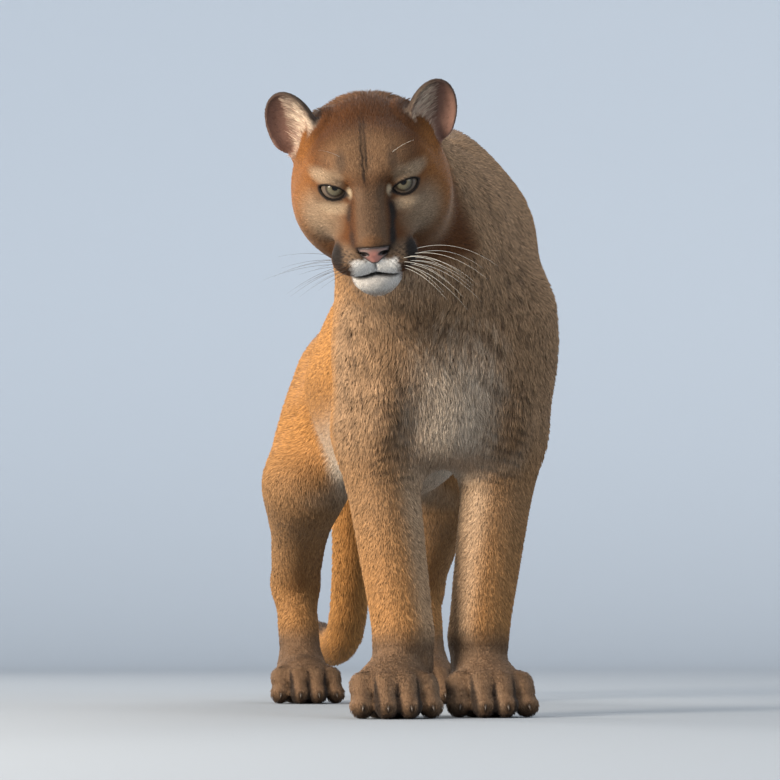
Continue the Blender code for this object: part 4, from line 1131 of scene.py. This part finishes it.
class Shader:
    """A material and what feeds its Principled shader."""

    def __init__(self, name, **numbers):
        self.material = bpy.data.materials.new(name)
        self.material.use_nodes = True
        self.nodes = self.material.node_tree.nodes
        self.main = self.nodes["Principled BSDF"]
        for socket, number in numbers.items():
            self.main.inputs[socket.replace("_", " ")].default_value = number

    def add(self, kind, inputs, output=0, **settings):
        """A node of this kind, its settings, then its inputs, and one of its outputs."""
        node = self.nodes.new(kind)
        for setting, value in settings.items():
            setattr(node, setting, value)
        for name, value in inputs.items():
            if isinstance(value, Value):
                self.material.node_tree.links.new(value.socket, node.inputs[name])
            else:
                node.inputs[name].default_value = value
        return Value(self, node.outputs[output])

    def feed(self, name, value):
        """Joins a value to the Principled shader."""
        self.material.node_tree.links.new(value.socket, self.main.inputs[name])

    def attribute(self, name):
        """A colour kept on the mesh."""
        return self.add("ShaderNodeAttribute", {}, "Color", attribute_name=name)

    def grain(self, scale, detail=2.0, stretch=(1.0, 1.0, 1.0)):
        """Fine noise at the place on the object, from 0 to 1."""
        place = self.add("ShaderNodeTexCoord", {}, "Object")
        place = self.add("ShaderNodeVectorMath", {0: place, 1: stretch}, operation="MULTIPLY")
        return self.add("ShaderNodeTexNoise", {"Vector": place, "Scale": scale, "Detail": detail}, 0)

    def scaled(self, colour, factor):
        """A colour times a number."""
        return self.add("ShaderNodeVectorMath", {0: colour, "Scale": factor}, operation="SCALE")

    def bump(self, height, strength, distance):
        """Feeds a height to the Normal."""
        inputs = {"Height": height, "Strength": strength, "Distance": distance}
        self.feed("Normal", self.add("ShaderNodeBump", inputs))


def coat_finish(name, roughness, dim=1.0, bump=0.0):
    """The painted markings, with a fine grain of light and dark, as short hair has."""
    shader = Shader(name, Roughness=roughness, Specular_IOR_Level=0.15, Sheen_Weight=0.03,
                    Sheen_Roughness=0.5)
    grain = shader.grain(650.0)
    shader.feed("Base Color", shader.scaled(shader.attribute("coat"), (grain * 0.5 + 0.75) * dim))
    if bump:
        shader.bump(shader.grain(900.0, 3.0), bump, 0.0006)
    return shader.material


def painted_finish(name, roughness, **numbers):
    """The colours kept on the mesh, plain."""
    shader = Shader(name, Roughness=roughness, **numbers)
    shader.feed("Base Color", shader.attribute("coat"))
    return shader.material


def triangles_of(quads):
    """Quads as triangles."""
    return np.concatenate([quads[:, (0, 1, 2)], quads[:, (0, 2, 3)]])


def skin_shells(settings):
    """The closed shells of the skin, each with the test of which of its points the coat grows
    from: head, body, tail and feet. They overlap a little where they meet, on one surface."""
    cut = from_head((0, 0, 0)) + np.array(NECK_CUT)
    normal = np.array(NECK_CUT_NORMAL)
    step = unit(normal) * OVERLAP
    centre = from_head((0, 0, 0))
    root, back = np.array(TAIL_START), unit(np.array(TAIL_AHEAD))
    floor = ((0.0, 0.0, FLOOR - OFFSET[2]), (0.0, 0.0, -1.0))
    behind = (lambda points: (points - cut) @ normal >= 0)
    shells = [(head_skin, ((cut + step, normal),), centre - HEAD_REACH, centre + HEAD_REACH,
               settings.head_cell, lambda points: ~behind(points)),
              (body_skin, ((cut - step, -normal), ((0, 0, FOOT_TOP - OVERLAP), (0, 0, -1.0)),
                           (root + back * OVERLAP, back)),
               (-0.29, -0.60, 0.05), (0.19, 0.58, 0.78), settings.body_cell,
               lambda points: behind(points) & (points[:, 2] >= FOOT_TOP) & (past_root(points) <= 0)),
              (body_skin, ((root - back * OVERLAP, -back), ((0.055, 0, 0), (1.0, 0, 0)),
                           ((-0.050, 0, 0), (-1.0, 0, 0)), floor),
               (-0.06, 0.47, 0.0), (0.08, 0.95, 0.53), settings.tail_cell,
               lambda points: past_root(points) > 0)]
    for side, sign in SIDES.items():
        for foot, split in zip(feet(side), (FORE_PAW_SHIFT, 0.0)):
            middle = np.array((foot[0], foot[1], 0.06))
            ends = (floor, ((0, 0, FOOT_TOP + OVERLAP), (0, 0, 1.0)),
                    ((split + 0.0005 * sign, 0, 0), (-sign, 0, 0)))
            reach = np.array((0.080, 0.150, 0.070))
            shells.append((body_skin, ends, middle - reach, middle + reach, settings.foot_cell,
                           lambda points: (points[:, 2] < FOOT_TOP) & (past_root(points) <= 0)))
    return shells


class CougarSettings(bpy.types.PropertyGroup):
    """Sizes and colours that a user would change."""

    head_cell: bpy.props.FloatProperty(name="Head grain", description="Size of the head skin's faces",
                                       default=0.0020, min=0.0010, unit="LENGTH")
    body_cell: bpy.props.FloatProperty(name="Body grain", description="Size of the body skin's faces",
                                       default=0.0080, min=0.004, unit="LENGTH")
    tail_cell: bpy.props.FloatProperty(name="Tail grain", description="Size of the tail skin's faces",
                                       default=0.0060, min=0.003, unit="LENGTH")
    foot_cell: bpy.props.FloatProperty(name="Foot grain", description="Size of the feet's faces",
                                       default=0.0040, min=0.002, unit="LENGTH")
    thickness: bpy.props.FloatProperty(name="Thickness", description="How many tufts, as a share",
                                       default=1.0, min=0.05, max=1.2, subtype="FACTOR")
    length: bpy.props.FloatProperty(name="Coat length", description="Length of the tufts, as a share",
                                    default=1.0, min=0.2, max=2.0, subtype="FACTOR")
    iris: bpy.props.FloatVectorProperty(name="Iris", description="Colour of the iris", size=3,
                                        default=(0.092, 0.081, 0.052), subtype="COLOR", min=0, max=1)
    nose: bpy.props.FloatVectorProperty(name="Nose", description="Colour of the nose leather", size=3,
                                        default=(0.330, 0.135, 0.105), subtype="COLOR", min=0, max=1)
    whisker: bpy.props.FloatProperty(name="Whisker", description="Length of the longest whisker",
                                     default=0.105, min=0.02, unit="LENGTH")
    backdrop: bpy.props.FloatVectorProperty(name="Backdrop", description="Colour of floor and wall",
                                            size=3, default=(0.70, 0.76, 0.82), subtype="COLOR",
                                            min=0, max=1)
    light: bpy.props.FloatProperty(name="Light", description="Strength of the main lamp",
                                   default=125.0, min=0.0, unit="POWER")


class COUGAR_OT_skin(bpy.types.Operator):
    """Builds the skin, which stands for the flesh of the solids"""

    bl_idname = "cougar.skin"
    bl_label = "Skin"

    def execute(self, context):
        settings = context.scene.cougar
        points, faces, grown = [], [], []
        start = 0
        for field, ends, low, high, cell, grows in skin_shells(settings):
            found, quads = surface_net(within(field, ends), low, high, cell)
            points.append(found)
            faces.append(quads + start)
            grown.append(grows(found[quads].mean(1)))
            start += len(found)
        points, faces = np.concatenate(points), np.concatenate(faces)
        made = add_mesh("skin", to_frame(points), faces, coat_finish("skin", 0.85, 0.88, 0.5))
        mesh = made.data
        normals = np.empty(3 * len(points), np.float32)
        mesh.vertices.foreach_get("normal", normals)
        normals = normals.reshape(-1, 3).astype(float)
        colours = coat_colour(points, normals, places(points, normals))
        layer = mesh.color_attributes.new("coat", "FLOAT_COLOR", "POINT")
        full = np.column_stack([colours, np.ones(len(colours))]).astype(np.float32)
        layer.data.foreach_set("color", full.ravel())
        layer = mesh.attributes.new("grows", "BOOLEAN", "FACE")
        layer.data.foreach_set("value", np.concatenate(grown))
        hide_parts(*FLESH)
        print("skin triangles", 2 * len(faces))
        return {"FINISHED"}


def tuft_sizes(at, points):
    """Each point's tufts: how many to the square metre, their length, width and rise."""
    def lay(name, share):
        nonlocal size
        size = mix(size, np.array(TUFTS[name]), np.clip(share, 0, 1))

    size = np.tile(np.array(TUFTS["body"]), (len(points), 1))
    lay("chest", at["chest"] + at["belly"])
    lay("leg", at["leg"])
    lay("foot", at["foot"])
    lay("tail", at["tail"])
    lay("head", at["head"])
    lay("face", at["face"])
    lay("muzzle", at["muzzle"])
    lay("ear_back", at["ear"])
    lay("ear_inside", at["ear_inside"])
    local = at["local"]
    own = at["own"]
    bare = smoothstep(0.002, -0.010, own[:, 0] - 0.30 * (own[:, 2] - 0.02)) * at["ear_inside"]
    size[:, 0] *= 1 - 0.80 * bare
    size[:, 1] *= 1 - 0.65 * bare
    size[:, 3] *= 1 - 0.80 * bare
    rim = np.linalg.norm((own - np.array((0, 0, EAR_SIZE[2] * 0.42))) / (EAR_SIZE[0], 1.0, EAR_SIZE[2]), axis=1)
    size[:, 1:] *= (1 - 0.60 * smoothstep(0.72, 0.95, rim) * at["ear"])[:, None]
    for side in SIDES:
        level = lid_level(local, side)
        size[:, 1:] *= (1 - 0.5 * smoothstep(2.0, 1.3, level))[:, None]
        size[:, 0] *= level > 1.20
    upper, lower = jaws(local)
    size[:, 0] *= (leather(local) > 0.0003) | (at["head"] < 0.5)
    size[:, 0] *= (np.abs(upper - lower) > 0.0036) | (local[:, 1] > MOUTH_CORNER)
    return size


class COUGAR_OT_coat(bpy.types.Operator):
    """Covers the skin with tufts in pieces"""

    bl_idname = "cougar.coat"
    bl_label = "Coat"

    def execute(self, context):
        settings = context.scene.cougar
        mesh = bpy.data.objects["skin"].data
        points = np.empty(3 * len(mesh.vertices), np.float32)
        normals = np.empty(3 * len(mesh.vertices), np.float32)
        quads = np.empty(4 * len(mesh.polygons), np.int32)
        grows = np.empty(len(mesh.polygons), bool)
        mesh.vertices.foreach_get("co", points)
        mesh.vertices.foreach_get("normal", normals)
        mesh.loops.foreach_get("vertex_index", quads)
        mesh.attributes["grows"].data.foreach_get("value", grows)
        points = points.reshape(-1, 3).astype(float) - OFFSET
        normals = normals.reshape(-1, 3).astype(float)
        faces = triangles_of(quads.reshape(-1, 4)[grows])
        corners, slopes = points[faces], normals[faces]
        middle, slope = corners.mean(1), unit(slopes.mean(1))
        names = coat_piece("", middle, slope)
        finish = coat_finish("short_coat", 0.62)
        total = 0
        for number, name in enumerate(sorted(set(names))):
            mine = names == name
            draw = np.random.default_rng(SEED + number)
            size = tuft_sizes(places(middle[mine], slope[mine]), middle[mine])
            roots, ways = scattered(corners[mine], slopes[mine], size[:, 0] * settings.thickness, draw)
            at = places(roots, ways)
            size = tuft_sizes(at, roots)
            keep = size[:, 0] > 0
            roots, ways, size = roots[keep], ways[keep], size[keep]
            at = {key: value[keep] for key, value in at.items()}
            size[:, 1] *= draw.uniform(0.75, 1.20, len(roots)) * settings.length
            size[:, 3] *= draw.uniform(0.55, 1.15, len(roots))
            colours = coat_colour(roots, ways, at)
            shapes = tufts(roots, ways, coat_lie(roots, ways, at), size[:, 1:], colours,
                           unwrap(name, roots, at), draw)
            tips, faces_here, shades, painted, patches = shapes
            if len(faces_here) >= 200000:
                raise RuntimeError(f"{name} has {len(faces_here)} triangles, too many for one piece")
            add_mesh(name, to_frame(tips), faces_here, finish, painted, shades, patches)
            total += len(faces_here)
            print(name, len(faces_here))
        print("coat triangles", total)
        return {"FINISHED"}


def camera_place():
    """Where the camera stands and how it is turned, from the photo's angle on the animal."""
    turn = math.radians(-8.0)
    back = Vector((math.sin(turn), -math.cos(turn), 0.0))
    right = Vector((math.cos(turn), math.sin(turn), 0.0))
    place = back * 4.69 + right * -0.022 + Vector((OFFSET[0], OFFSET[1], 0.12))
    return place, (math.radians(90.0) + math.atan(224.0 / 3750.0), 0.0, turn)


class COUGAR_OT_eyes(bpy.types.Operator):
    """Builds the eyes, which look at the camera, and their dark rims"""

    bl_idname = "cougar.eyes"
    bl_label = "Eyes"

    def execute(self, context):
        iris = np.array(context.scene.cougar.iris)
        wet = painted_finish("eye", 0.10, Coat_Weight=0.10, Coat_Roughness=0.02, Specular_IOR_Level=0.20)
        rim_finish = painted_finish("lid_rim", 0.80, Specular_IOR_Level=0.12)
        steps = np.concatenate([np.linspace(0.02, 0.80, 40), np.linspace(0.86, 3.10, 16)])
        turns = np.linspace(0, 2 * math.pi, 96, endpoint=False)
        for side, sign in SIDES.items():
            low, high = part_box(f"eye_{side}")
            centre = (np.array(low) + np.array(high)) / 2
            ahead = unit(np.array(camera_place()[0]) - centre)
            across = unit(np.cross(ahead, (0.0, 0.0, 1.0)))
            up = np.cross(across, ahead)
            away, around = np.meshgrid(steps, turns, indexing="ij")
            radius = EYE_RADIUS + 0.0007 * smoothstep(0.66, 0.30, away)
            ways = (np.cos(away)[..., None] * ahead + (np.sin(away) * np.cos(around))[..., None] * across
                    + (np.sin(away) * np.sin(around))[..., None] * up)
            points = (centre + radius[..., None] * ways).reshape(-1, 3)
            points = np.vstack([points, centre + ahead * (EYE_RADIUS + 0.0007), centre - ahead * EYE_RADIUS])
            flat = away.ravel()
            rays = np.cos(around.ravel() * 34 + 2 * np.sin(around.ravel() * 7)) * 0.5 + 0.5
            colour = mix(iris * 0.80, iris * 1.25, rays * smoothstep(0.18, 0.35, flat))
            colour = mix(colour, iris * (0.80, 0.72, 0.60), smoothstep(0.30, 0.20, flat) * 0.7)
            colour = mix(colour, (0.030, 0.022, 0.016), smoothstep(0.47, 0.60, flat) * 0.95)
            colour = mix(colour, (0.002, 0.002, 0.002), smoothstep(0.220, 0.200, flat))
            colour = mix(colour, (0.10, 0.075, 0.055), smoothstep(0.66, 0.76, flat))
            # Painted shade: the upper part of the eyeball is darkened, by up to 0.72, where the upper lid shades it.
            painted_lid_shade = 1 - 0.72 * smoothstep(0.08, 0.34, (np.sin(away) * np.sin(around)).ravel())
            colour = np.vstack([colour * painted_lid_shade[:, None], (0.004,) * 3, (0.10, 0.075, 0.055)])
            made = add_mesh(f"eyeball_{side}", points, outward(points - centre, rings(len(steps), len(turns))),
                            wet, colour)
            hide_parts(f"eye_{side}")
            look, long_axis, short_axis = (np.array(way) for way in gaze(side))
            turn = np.linspace(0, 2 * math.pi, 64, endpoint=False)
            rise = np.where(np.sin(turn) > 0, *LIDS)
            almond = (np.cos(turn)[:, None] * LID_HALF_LENGTH * long_axis
                      + (rise * np.sin(turn) * np.abs(np.sin(turn)) ** 0.3)[:, None] * short_axis)
            depth = np.sqrt((EYE_RADIUS + 0.0009) ** 2 - (almond**2).sum(1))
            ring = almond + depth[:, None] * look + np.array((EYE[0] * sign, EYE[1], EYE[2]))
            ring = to_frame(np.array([from_head(point) for point in ring]))
            thick = (0.00085 + 0.00035 * smoothstep(0.3, -0.3, np.sin(turn))
                     + 0.0004 * np.exp(-((turn - math.pi) / 0.5) ** 2))
            points, faces = tube(ring, thick, 10, True)
            add_mesh(f"lid_rim_{side}", points, faces, rim_finish,
                     np.tile((0.008, 0.006, 0.005), (len(points), 1)))
        return {"FINISHED"}


class COUGAR_OT_nose(bpy.types.Operator):
    """Builds the nose leather from the fine form of the head"""

    bl_idname = "cougar.nose"
    bl_label = "Nose"

    def execute(self, context):
        pink = np.array(context.scene.cougar.nose)

        def pad(points):
            local = to_head(points)
            return np.maximum(head(points) + 0.0004, leather(local))

        centre = from_head(NOSE)
        points, quads = surface_net(pad, centre - 0.030, centre + 0.030, 0.0008)
        local = to_head(points)
        x, y, z = np.abs(local[:, 0]), local[:, 1], local[:, 2]
        half = np.column_stack([x, y, z])
        dark = (0.030, 0.020, 0.018)
        colour = np.tile(pink, (len(points), 1)) * (1 + 0.10 * ripple(points, 0.004, 31))[:, None]
        rosy = spot(half, (0.0, -0.115, -0.0245), (0.0078, 0.020, 0.0085), 0.6)
        colour = mix(colour, (0.130, 0.085, 0.072), 1 - rosy)
        colour = mix(colour, (0.235, 0.160, 0.140), spot(half, (0.010, -0.112, -0.0150), (0.006, 0.012, 0.0028)) * 0.6)
        colour = mix(colour, dark, smoothstep(-0.0026, -0.0004, leather(local)))
        colour = mix(colour, dark, smoothstep(-0.0315, -0.0345, z))
        # Painted shade in the nostrils, near black.
        nostril = bone(half, *NOSTRIL, 0.0021, 0.0027)
        colour = mix(colour, (0.008, 0.006, 0.006), smoothstep(0.0016, 0.0002, nostril))
        shader = Shader("nose_leather", Roughness=0.38, Specular_IOR_Level=0.45)
        shader.feed("Base Color", shader.attribute("coat"))
        pebbles = shader.add("ShaderNodeTexVoronoi", {"Vector": shader.add("ShaderNodeTexCoord", {}, "Object"),
                                                      "Scale": 850.0}, "Distance")
        shader.bump(pebbles, 0.5, 0.0003)
        made = add_mesh("nose_pad", to_frame(points), quads, shader.material, colour)
        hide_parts("nose")
        return {"FINISHED"}


class COUGAR_OT_claws(bpy.types.Operator):
    """Builds the tips of the claws, a curved cone at each toe"""

    bl_idname = "cougar.claws"
    bl_label = "Claws"

    def execute(self, context):
        shapes = []
        for side, sign in SIDES.items():
            for middle, reach, size in feet(side):
                for place in (-1.5, -0.5, 0.5, 1.5):
                    spread = abs(place) - 0.5
                    tip = np.array((middle + place * (0.0236 * size + 0.002),
                                    reach - (0.062 - 0.014 * spread) * size, 0.0110 * size))
                    bend = np.linspace(0.0, 1.0, 9)
                    angle = 0.5 + 1.25 * bend
                    path = tip + np.column_stack([0 * bend + place * 0.001 * bend,
                                                  -0.0095 - 0.0085 * np.sin(angle) + 0.004,
                                                  0.0060 * np.cos(angle) - 0.001]) * size
                    path[:, 2] = np.maximum(path[:, 2], 0.004)
                    shapes.append(tube(to_frame(path), 0.0015 * (1.0 - 0.93 * bend**1.6), 10))
        points, faces = joined(shapes)
        horn = np.tile((0.10, 0.075, 0.055), (len(points), 1))
        add_mesh("claws", points, faces, painted_finish("claw", 0.3), horn)
        return {"FINISHED"}


class COUGAR_OT_whiskers(bpy.types.Operator):
    """Builds the whiskers and the long hairs over the eyes"""

    bl_idname = "cougar.whiskers"
    bl_label = "Whiskers"

    def execute(self, context):
        longest = context.scene.cougar.whisker
        share = np.linspace(0.0, 1.0, 18)[:, None]
        shapes, colours = [], []
        draw = np.random.default_rng(SEED)
        for side, sign in SIDES.items():
            dark = side == "right"
            for number in range(15):
                row, column = number % 4, number // 4
                if number < 14:
                    root = np.array((0.0300 + 0.0040 * column, -0.1000 + 0.0060 * column,
                                     -0.0285 - 0.0042 * row))
                    length = longest * (0.58 + 0.42 * column / 3) * draw.uniform(0.72, 1.0)
                    if dark:
                        length *= 1.25 if number == 9 else 0.80
                    way = np.array((1.0, -0.10 + 0.16 * column + draw.normal(0, 0.08),
                                    0.12 - 0.16 * row + draw.normal(0, 0.05)))
                    sag = 0.20 if dark else 0.48
                    thick = 0.00025
                else:
                    root = np.array((0.026 + 0.006 * (number - 14), -0.048, 0.060))
                    length = 0.055 * draw.uniform(0.8, 1.1)
                    way = np.array((0.55 + 0.2 * (number - 14), -0.75, 0.75))
                    sag, thick = 0.12, 0.00018
                root, way = root * (sign, 1, 1), unit(way * (sign, 1, 1))
                place = from_head(root)
                for _ in range(12):
                    place = place - head(place[None]) * unit(place - from_head((0, -0.04, -0.01))) * 0.7
                ahead = head_axes()[0] @ way
                path = place + share * length * ahead - np.array((0, 0, 1.0)) * sag * length * share**2
                path -= ahead * 0.003
                points, faces = tube(to_frame(path), thick * (1.0 - 0.85 * share[:, 0]), 5)
                shapes.append((points, faces))
                tone = (0.060, 0.042, 0.030) if dark and number < 14 else (0.62, 0.58, 0.50)
                colours.append(np.tile(tone, (len(points), 1)))
        points, faces = joined(shapes)
        add_mesh("whiskers", points, faces, painted_finish("whisker", 0.35),
                 np.concatenate(colours))
        return {"FINISHED"}


class COUGAR_OT_stage(bpy.types.Operator):
    """Builds the floor and backdrop as one wide bowl, soft lamps and the camera"""

    bl_idname = "cougar.stage"
    bl_label = "Studio"

    def execute(self, context):
        settings = context.scene.cougar
        scene = context.scene
        bend = np.linspace(0, math.pi / 2, 32)
        reach = np.concatenate([(0.5, 2.0, 4.0), 4.0 + 8.0 * np.sin(bend[1:])])
        height = np.concatenate([(0.0,) * 3, 8.0 - 8.0 * np.cos(bend[1:])])
        turn = np.linspace(0, 2 * math.pi, 96, endpoint=False)
        grid = np.stack([reach[:, None] * np.cos(turn), reach[:, None] * np.sin(turn),
                         np.tile(height[:, None], (1, len(turn)))], -1)
        columns = len(turn)
        at = np.arange(grid[..., 0].size).reshape(-1, columns)
        faces = np.stack([at[:-1], at[1:], np.roll(at[1:], -1, 1), np.roll(at[:-1], -1, 1)], -1)
        faces = faces.reshape(-1, 4)[:, ::-1].tolist() + [at[0].tolist()[::-1]]
        mesh = bpy.data.meshes.new("studio_sheet")
        mesh.from_pydata(grid.reshape(-1, 3).tolist(), [], faces)
        mesh.shade_smooth()
        shader = Shader("studio_sheet", Roughness=0.9, Specular_IOR_Level=0.1)
        # The sheet is painted darker towards the middle, from 0.46 of the backdrop colour near the animal to all of it
        # 9 m out: painted shade that evens out the lamps' light on the floor.
        place = shader.add("ShaderNodeTexCoord", {}, "Object")
        apart = shader.add("ShaderNodeVectorMath", {0: place}, "Value", operation="LENGTH")
        share = shader.add("ShaderNodeMapRange", {"Value": apart, "From Min": 0.5, "From Max": 9.0,
                                                  "To Min": 0.46, "To Max": 1.0},
                           interpolation_type="SMOOTHSTEP")
        shader.feed("Base Color", shader.scaled(tuple(settings.backdrop), share))
        mesh.materials.append(shader.material)
        sheet = bpy.data.objects.new("studio_sheet", mesh)
        scene.collection.objects.link(sheet)
        world = bpy.data.worlds.new("studio")
        world.use_nodes = True
        world.node_tree.nodes["Background"].inputs["Color"].default_value = (0.92, 0.95, 1.0, 1.0)
        world.node_tree.nodes["Background"].inputs["Strength"].default_value = 0.90
        scene.world = world
        lamps = (("key", (-3.1, -2.4, 1.25), 1.4, 1.0, (1.0, 0.88, 0.74)),
                 ("fill", (2.6, -3.4, 1.8), 2.0, 0.16, (0.90, 0.94, 1.0)),
                 ("rim", (-2.0, 2.4, 1.9), 1.4, 0.22, (1.0, 0.93, 0.84)),
                 ("top", (1.4, 1.4, 3.0), 1.8, 0.10, (1.0, 1.0, 1.0)))
        for name, place, size, share, tint in lamps:
            lamp = bpy.data.lights.new(name, "AREA")
            lamp.size, lamp.energy, lamp.color = size, settings.light * share, tint
            lamp.spread = math.radians(120.0)
            made = bpy.data.objects.new(name, lamp)
            made.location = place
            made.rotation_euler = (Vector((0, -0.2, 0.42)) - Vector(place)).to_track_quat("-Z", "Y").to_euler()
            scene.collection.objects.link(made)
        camera = bpy.data.objects.new("camera", bpy.data.cameras.new("camera"))
        camera.data.lens = 3750.0 / 780.0 * 36.0
        camera.location, camera.rotation_euler = camera_place()
        scene.collection.objects.link(camera)
        scene.camera = camera
        scene.view_settings.view_transform = "Standard"
        return {"FINISHED"}


class COUGAR_PT_panel(bpy.types.Panel):
    """The cougar's pieces and settings"""

    bl_idname = "COUGAR_PT_panel"
    bl_label = "Cougar"
    bl_space_type = "VIEW_3D"
    bl_region_type = "UI"
    bl_category = "Cougar"

    def draw(self, context):
        for name in CougarSettings.__annotations__:
            self.layout.prop(context.scene.cougar, name)
        for operator in OPERATORS:
            self.layout.operator(operator.bl_idname)


OPERATORS = (COUGAR_OT_skin, COUGAR_OT_coat, COUGAR_OT_eyes, COUGAR_OT_nose, COUGAR_OT_claws,
             COUGAR_OT_whiskers, COUGAR_OT_stage)


def register():
    """Registers the settings, operators and panel."""
    for kind in (CougarSettings, *OPERATORS, COUGAR_PT_panel):
        bpy.utils.register_class(kind)
    bpy.types.Scene.cougar = bpy.props.PointerProperty(type=CougarSettings)


def unregister():
    """Takes them off again."""
    del bpy.types.Scene.cougar
    for kind in (COUGAR_PT_panel, *OPERATORS[::-1], CougarSettings):
        bpy.utils.unregister_class(kind)


def main():
    register()
    for build in (bpy.ops.cougar.skin, bpy.ops.cougar.coat, bpy.ops.cougar.eyes, bpy.ops.cougar.nose,
                  bpy.ops.cougar.claws, bpy.ops.cougar.whiskers, bpy.ops.cougar.stage):
        build()


if __name__ == "__main__":
    main()
